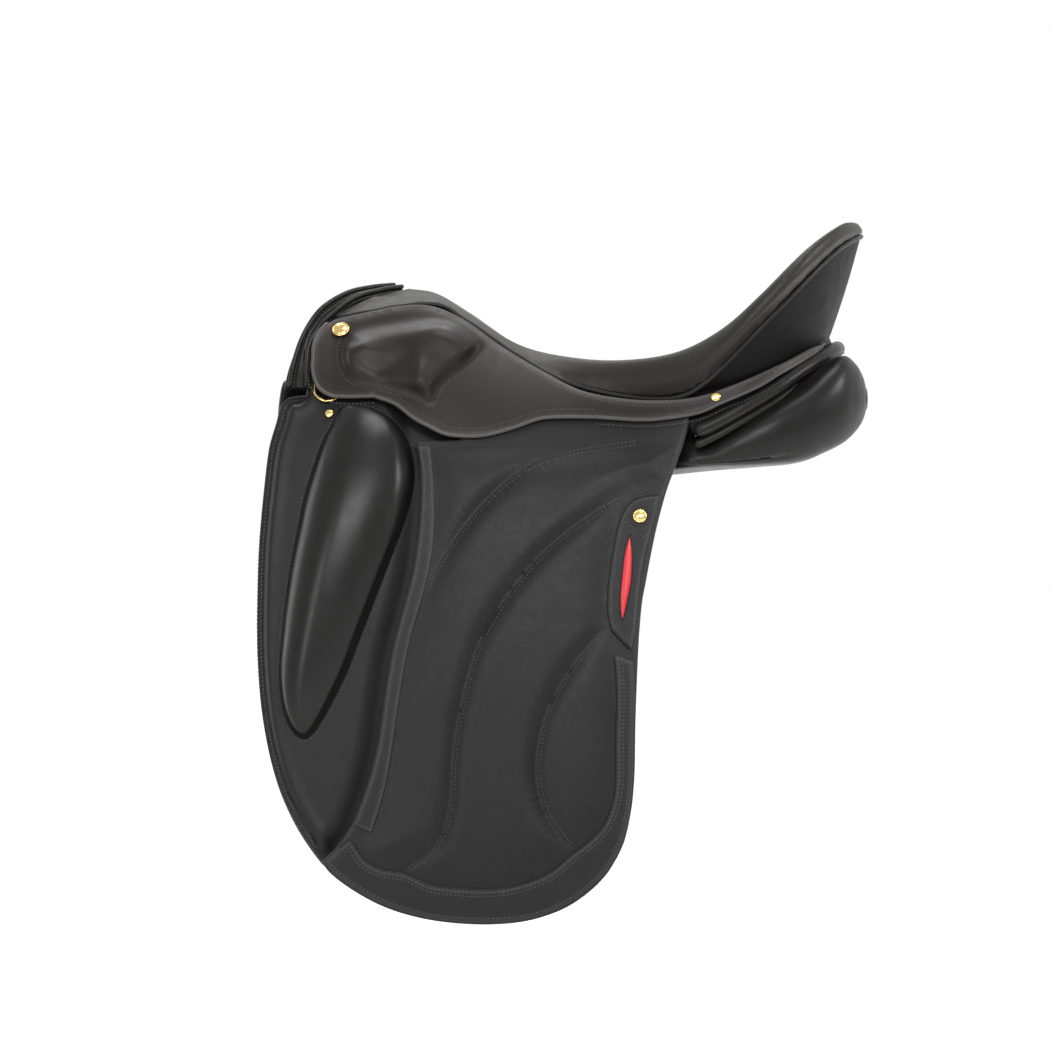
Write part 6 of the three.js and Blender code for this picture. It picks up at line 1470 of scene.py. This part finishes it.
def buildPanels():
    look = panelLook
    angles = np.linspace(0, 2 * math.pi, look["sides"], endpoint=False)
    places = np.linspace(0, len(panelRows) - 1, look["sections"])
    rings = [panelRing(place, angles) for place in places]
    middles = [ring.mean(0) for ring in rings]
    whole = []
    turns = np.array([0.995, 0.94, 0.84, 0.7, 0.52, 0.3, 0.12])
    for first, direction, nose in ((0, middles[0] - middles[4], look["noses"][0]),
                                   (-1, np.array([1.0, 0, 0]), look["noses"][1])):
        middle, reach = middles[first], rings[first] - middles[first]
        whole.append([middle + reach * math.sqrt(1 - t * t) + unit(direction) * nose * t for t in turns])
    rings = whole[0] + rings + whole[1][::-1]

    def nearSeams(reach):
        gaps = [(angles - at + math.pi) % (2 * math.pi) - math.pi for at in look["seamAt"]]
        return sum(np.exp(-((gap / reach) ** 2)) for gap in gaps)

    seam, nearSeam = nearSeams(look["seamReach"]), nearSeams(look["puckerReach"])
    shrunk = []
    for ring in rings:
        middle = ring.mean(0)
        phase = ring[:, 0] / look["puckerPitch"] * 2 * math.pi + 0.8 * np.sin(ring[:, 2] / 9)
        wave = look["pucker"] * np.sin(phase)
        sewn = 1 - smooth((middle[0] - along(look["sewnTo"])) / 25)
        depth = (look["seam"] * seam + (wave + look["pucker"]) * nearSeam) * sewn
        shrunk.append(ring - unit(ring - middle) * depth[:, None])
    sides = look["sides"]
    points = np.vstack(shrunk)
    faces = gridFaces(len(shrunk), sides, closed=True)
    faces += [list(range(sides))[::-1], list(range((len(shrunk) - 1) * sides, len(shrunk) * sides))]
    panels = addBoth("panel_pad", (points, faces), [hides["panelCalf"]], "saddle", ["panel"],
                     angle=70)
    lines, cords = [], []
    for at in look["seamAt"]:
        column = int(round(at / (2 * math.pi) * sides)) % sides
        sewn = [ring for ring in rings[5:-5] if ring[:, 0].mean() < along(look["sewnTo"])]
        path = np.array([ring[column] for ring in sewn])
        centres = np.array([ring.mean(0) for ring in sewn])
        outward = unit(path - centres)
        cords.append(tube(smoothPath(path[::3] - outward[::3] * look["weltSunk"], 3), look["weltRadius"], 8))
        beadPath = np.array([ring[(column + 2) % sides] for ring in sewn])
        lines.append(beads(beadPath - outward * 0.2, outward))
    addBoth("panel_welt", merged(cords), [hides["trimBridle"]], "saddle")
    addStitches("panel_stitches", lines)


buildPanels()
print("saddle: panels made")


# Small hardware: turned studs, round-wire dee rings and their folded tabs.
def sideFrame(x, z, offset):
    origin = sidePoint(x, z, offset)
    outward = unit(sidePoint(x, z, offset + 2) - origin)
    forwardAxis = np.array([1.0, 0, 0])
    up = unit(-np.cross(forwardAxis, outward))
    forwardAxis = unit(-np.cross(outward, up))
    return origin, forwardAxis, up, outward


def inFrame(local, placeFrame):
    origin, ahead, up, outward = placeFrame
    local = np.asarray(local, float)
    return origin + local[:, :1] * ahead + local[:, 1:2] * up + local[:, 2:3] * outward


def turned(profile, sides=40):
    angles = np.arange(sides) / sides * 2 * math.pi
    points, faces = [[0, 0, profile[0][1]]], []
    for radius, rise in profile[1:-1]:
        points += [[radius * math.cos(angle), radius * math.sin(angle), rise] for angle in angles]
    points.append([0, 0, profile[-1][1]])
    faces += [[0, 1 + (side + 1) % sides, 1 + side] for side in range(sides)]
    faces += gridFaces(len(profile) - 2, sides, closed=True, shift=1)
    last = 1 + (len(profile) - 3) * sides
    faces += [[last + side, last + (side + 1) % sides, len(points) - 1] for side in range(sides)]
    return np.array(points), faces


def studProfile(radius, rise, rim):
    profile = [[0, 0], [radius * 0.92, 0], [radius * 0.985, rise * 0.12], [radius, rise * 0.3],
               [radius * 0.985, rise * 0.5], [radius * 0.94, rise * 0.62]]
    if rim:
        profile += [[radius * 0.88, rise * 0.64], [radius * 0.84, rise * 0.56], [radius * 0.80, rise * 0.50]]
        dome = [(0.74, 0.62), (0.62, 0.78), (0.45, 0.90), (0.26, 0.97), (0.1, 1.0)]
    else:
        dome = [(0.86, 0.74), (0.72, 0.86), (0.52, 0.95), (0.3, 0.99), (0.12, 1.0)]
    return profile + [[radius * out, rise * up] for out, up in dome] + [[0, rise]]


studs = {
    "skirt_badge_stud": {"node": "skirt_stud", "at": (0.341, 0.333), "on": skirtOutside, "gap": 0.95,
                         "radius": 7.4, "rise": 3.0, "rim": True, "body": "saddle"},
    "keeper_badge_stud": {"node": "keeper_stud", "at": (0.640, 0.517), "on": onKeeper, "gap": 0.5,
                          "radius": 5.8, "rise": 2.6, "rim": True, "body": "flap_SIDE"},
    "tail_pin": {"node": "tail_nail", "at": (0.716, 0.398), "on": skirtOutside, "gap": 0.5,
                 "radius": 4.2, "rise": 2.0, "rim": False, "body": "saddle"},
    "front_pin": {"node": "front_nail", "at": (0.3292, 0.4115), "on": sweatOutside, "gap": 0.5,
                  "radius": 4.0, "rise": 3.0, "rim": False, "body": "saddle"},
}


def buildStuds():
    for name, look in studs.items():
        x, z = float(along(look["at"][0])), float(height(look["at"][1]))
        level = float(look["on"](np.array([x]), np.array([z]))[0])
        points, faces = turned(studProfile(look["radius"], look["rise"], look["rim"]))
        part = (inFrame(points, sideFrame(x, z, level + look["gap"])), faces)
        addBoth(name, part, [brass], look["body"], [look["node"]], angle=60)


buildStuds()


# a flat plate with rounded rims, from its outline in its own plane
def plate(outline, thickness, rim):
    levels = []
    for turn in np.linspace(0, 1, 5):
        level = rim * (1 - math.cos(turn * math.pi / 2))
        inset = rim * (1 - math.sin(turn * math.pi / 2))
        levels.append((inset, level))
    levels += [(inset, thickness - level) for inset, level in levels[::-1]]
    points = []
    inward = inwardOf(outline)
    for inset, level in levels:
        points += [[*spot, level] for spot in outline + inward * inset]
    faces = gridFaces(len(levels), len(outline), closed=True)
    count = len(outline)
    faces += [list(range(count))[::-1], list(range((len(levels) - 1) * count, len(levels) * count))]
    return np.array(points), faces


def roundedBox(low, high, corner, steps=5):
    spots = []
    left, right, foot, top = low[0] + corner, high[0] - corner, low[1] + corner, high[1] - corner
    for first, (centreX, centreY) in enumerate(((right, top), (left, top), (left, foot), (right, foot))):
        for step in range(steps + 1):
            angle = (first + step / steps) * math.pi / 2
            spots.append([centreX + corner * math.cos(angle), centreY + corner * math.sin(angle)])
    return np.array(spots)


dee = {"width": 25.0, "drop": 22.0, "wire": 2.6, "offset": -4.4, "along": 0.3275, "top": 0.3775,
       "tabWidth": 13.0, "tabHeight": 17.0, "tabThickness": 2.2, "tabRim": 0.7}


def buildDees():
    place = sideFrame(float(along(dee["along"])), float(height(dee["top"])), dee["offset"])
    reach, wire = (dee["width"] - dee["wire"]) / 2, dee["wire"] / 2
    low = -dee["drop"] + dee["width"] / 2
    bow = [[reach * math.cos(angle), low + reach * math.sin(angle)]
           for angle in np.linspace(math.pi, 2 * math.pi, 24)]
    path = [[-reach + 1.2, -wire], [-reach + 0.3, -wire - 0.4], [-reach, -wire - 1.4]]
    path += bow + [[reach, -wire - 1.4], [reach - 0.3, -wire - 0.4], [reach - 1.2, -wire]]
    path = resampled(np.array(path + path[:1]), 1.2)[:-1]
    ring = inFrame(np.column_stack([path, np.full(len(path), wire)]), place)
    addBoth("dee_ring", tube(ring, wire * 0.98, 12, closed=True), [brass], "dee_SIDE", ["dee"])
    outline = roundedBox((-dee["tabWidth"] / 2, 0.5), (dee["tabWidth"] / 2, dee["tabHeight"] + 0.6), 2.0)
    points, faces = plate(outline, dee["tabThickness"], dee["tabRim"])
    addBoth("dee_loop", (inFrame(points, place), faces), [hides["strapButt"]], "saddle",
            ["dee_tab"])


buildDees()

# Girth straps: bridle butt with punched holes and pointed ends, hung on webs from the tree.
strap = {"width": 28.0, "foot": 340.0, "top": 16.0, "point": 14.0, "hole": 2.7, "firstHole": -162.0,
         "holePitch": 25.23, "holes": 7, "front": 0.487, "rear": 0.556, "gap": 1.2, "pitch": 5.0, "rim": 1.1,
         "rings": (0.3, 0.8, 1.4), "stitchIn": 3}
web = {"width": 30.0, "top": 1.5, "foot": 4.5, "free": 0.62}


def buildStraps():
    for name, share in (("front", strap["front"]), ("rear", strap["rear"])):
        centre, reach = float(along(share)), strap["width"] / 2
        top = [[centre + reach * math.cos(angle), strap["top"] - reach + reach * math.sin(angle)]
               for angle in np.linspace(0, math.pi, 20)]
        foot = [[centre + reach * out, -strap["foot"] + rise]
                for out, rise in ((-1, strap["point"]), (-0.45, 3), (0, 0), (0.45, 3), (1, strap["point"]))]
        outline = resampled(np.array(top + foot + top[:1]), 3)[:-1]
        angles = np.arange(14) / 14 * 2 * math.pi
        circle = np.stack([np.cos(angles), np.sin(angles)], 1) * strap["hole"]
        holes = [circle + [centre, strap["firstHole"] - number * strap["holePitch"]]
                 for number in range(strap["holes"])]

        def outer(x, z):
            return layers["strapOuter"]

        part = sheetOf(outline, outer, lambda x, z: layers["strapInner"], strap["pitch"], strap["rim"],
                       strap["rings"], holes)
        body = f"strap_{name}_SIDE"
        addBoth(f"strap_{name}", part[:2], [hides["strapButt"]], body,
                [f"girth_strap_{name}"], wearAndHighlight=part[2])
        side, low = reach - strap["stitchIn"], -strap["foot"] + 22
        edge = [[centre + out, level] for out, level in (
            (-side, low), (-side, 2), (-reach * 0.5, strap["top"] - 5), (0, strap["top"] - 3),
            (reach * 0.5, strap["top"] - 5), (side, 2), (side, low))]
        addStitches(f"strap_{name}_stitches", [sideBeads(resampled(np.array(edge), 2), outer)], body)


# outer edge of the tree's rails: shares across the seat, and the depths of their two faces
railOuterShares = np.array([0.78, 0.74, 0.72, 0.68, 0.6, 0.56])
railDepths = (18.9, 27.9)


def railEdge(x):
    share = np.linspace(0, 1, 241)
    outer = splineAt(railOuterShares, share * (len(railOuterShares) - 1))
    middle = (seatPoint(share, outer, railDepths[0]) + seatPoint(share, outer, railDepths[1])) / 2
    return np.stack([x] + [np.interp(x, middle[:, 0], middle[:, axis]) for axis in (1, 2)], 1)


def buildWebs():
    for name, share in (("front", strap["front"]), ("rear", strap["rear"])):
        centre = float(along(share))
        x = centre + np.linspace(-web["width"] / 2, web["width"] / 2, 13)
        edge = railEdge(x) - [0, 0.6, 0]
        reach = web["free"] * (float(edge[6, 2]) - strap["top"])
        levels = np.linspace(strap["top"] + reach, strap["top"] + strap["gap"], 12)
        outer, inner = [], []
        for number, at in enumerate(x):
            down = sidePoint(np.full(len(levels), at), levels, layers["strapOuter"])
            under = sidePoint(np.full(len(levels), at), levels, layers["strapInner"] + 1)
            outer.append(np.vstack([[edge[number] - [0, 0, web["top"]]], down]))
            inner.append(np.vstack([[edge[number] - [0, 0, web["foot"]]], under]))
        outer = np.array([resampled(line, 0, 30) for line in outer])
        inner = np.array([resampled(line, 0, 30) for line in inner])
        addBoth(f"web_{name}", slab(outer, inner), [girthWeb], "saddle", [f"girth_web_{name}"])


seatWebLook = {"first": 1 / 22, "last": 19 / 22, "reach": 10.4, "least": 26, "depths": (16.7, 18.2)}


def buildSeatWeb():
    look = seatWebLook
    share = np.linspace(look["first"], look["last"], 60)
    crest = np.maximum(look["least"], half(splineAt(seatStationShares[:, 4], share * stationCount)))
    across = np.linspace(-1, 1, 15)[None, :] * (look["reach"] / crest)[:, None]
    grids = []
    for depth in look["depths"]:
        grid = seatPoint(share[:, None], np.abs(across), depth)
        grid[..., 1] = np.where(across > 0, -grid[..., 1], grid[..., 1])
        grids.append(grid)
    addPiece("seat_webbing", slab(grids[0], grids[1]), [girthWeb], "saddle", ["seat_web"])


buildStraps()
buildWebs()
buildSeatWeb()
# solids used as they are, with a material of their own
keptNodes = {"tree": beech, "gullet_plate": blackSteel, "stirrup_bar_L": steel, "stirrup_bar_R": steel,
             "bar_catch_L": steel, "bar_catch_R": steel}
for node, material in keptNodes.items():
    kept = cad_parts[node]
    kept.data.materials.clear()
    kept.data.materials.append(material)
print("saddle: straps, webs and hardware made,", pieceCount, "pieces")


# Floor, background and lamps.
def plainSurface(name, colour, glow):
    material, shader, link = startMaterial(name)
    shader.inputs["Base Color"].default_value = linear(colour)
    shader.inputs["Roughness"].default_value = 0.9
    rays = addNode(material, "ShaderNodeLightPath")
    seen = addNode(material, "ShaderNodeMath", {0: rays.outputs["Is Camera Ray"],
                                                1: rays.outputs["Is Glossy Ray"]}, operation="ADD")
    lit = addNode(material, "ShaderNodeMath", {0: seen.outputs[0], 1: glow}, operation="MULTIPLY")
    shader.inputs["Emission Color"].default_value = (1, 1, 1, 1)
    link(lit.outputs[0], shader.inputs["Emission Strength"])
    return material


def buildStage():
    floorMesh = bpy.data.meshes.new("floor")
    reach, level = 40.0, -0.392
    floorMesh.from_pydata([(-reach, -reach, level), (reach, -reach, level), (reach, reach, level),
                           (-reach, reach, level)], [], [(0, 1, 2, 3)])
    floorMesh.materials.append(plainSurface("paleFloor", "#e9e9e9", 0.88))
    floor = addObject("floor", floorMesh)
    world = bpy.data.worlds.new("studio")
    bpy.context.scene.world = world
    world.use_nodes = True
    back = world.node_tree.nodes["Background"]
    back.inputs["Color"].default_value = (1, 1, 1, 1)
    # the camera and reflections see full white, while diffuse light gets a quarter of it
    rays = addNode(world, "ShaderNodeLightPath")
    seen = rays.outputs["Is Camera Ray"]
    for output in ("Is Glossy Ray", "Is Transmission Ray"):
        seen = addNode(world, "ShaderNodeMath", {0: seen, 1: rays.outputs[output]},
                       operation="MAXIMUM").outputs[0]
    strength = addNode(world, "ShaderNodeMapRange", {"Value": seen, "To Min": 0.25, "To Max": 1.0})
    world.node_tree.links.new(strength.outputs["Result"], back.inputs["Strength"])


def addLamp(name, place, target, size, power):
    data = bpy.data.lights.new(name, "AREA")
    data.shape = "RECTANGLE"
    data.size, data.size_y = size
    data.energy = power
    lamp = addObject(name, data)
    lamp.location = place
    lamp.rotation_euler = (Vector(target) - Vector(place)).to_track_quat("-Z", "Y").to_euler()


buildStage()
addLamp("overheadBox", (0.35, -0.25, 1.7), (0.05, -0.05, 0.0), (1.0, 0.7), 19.0)
addLamp("keyBox", (0.2, -1.9, 0.9), (0.05, -0.1, -0.05), (1.2, 0.45), 24.0)
addLamp("leftStrip", (-1.45, 0.25, 0.15), (-0.2, -0.1, -0.05), (0.22, 1.2), 6.0)
addLamp("frontStrip", (-1.0, -1.75, 0.3), (-0.25, -0.1, -0.1), (0.20, 1.0), 9.0)
addLamp("rightBox", (1.5, -0.25, 0.6), (0.2, -0.1, 0.05), (0.35, 0.4), 10.0)
addLamp("rimStrip", (-0.2, 1.0, 1.45), (0.05, 0.0, 0.1), (1.2, 0.25), 9.0)

cameraData = bpy.data.cameras.new("camera")
camera = addObject("camera", cameraData)
bpy.context.scene.camera = camera
viewLook = {"distance": 14.0, "width": 0.8856, "x": -0.0633, "z": -0.0488, "plane": -0.13}
cameraData.sensor_width = 36.0
cameraData.lens = 36.0 * viewLook["distance"] / viewLook["width"]
cameraData.clip_end = 100.0
camera.location = (viewLook["x"], viewLook["plane"] - viewLook["distance"], viewLook["z"])
camera.rotation_euler = (math.pi / 2, 0, 0)
bpy.context.scene.view_settings.view_transform = "Standard"
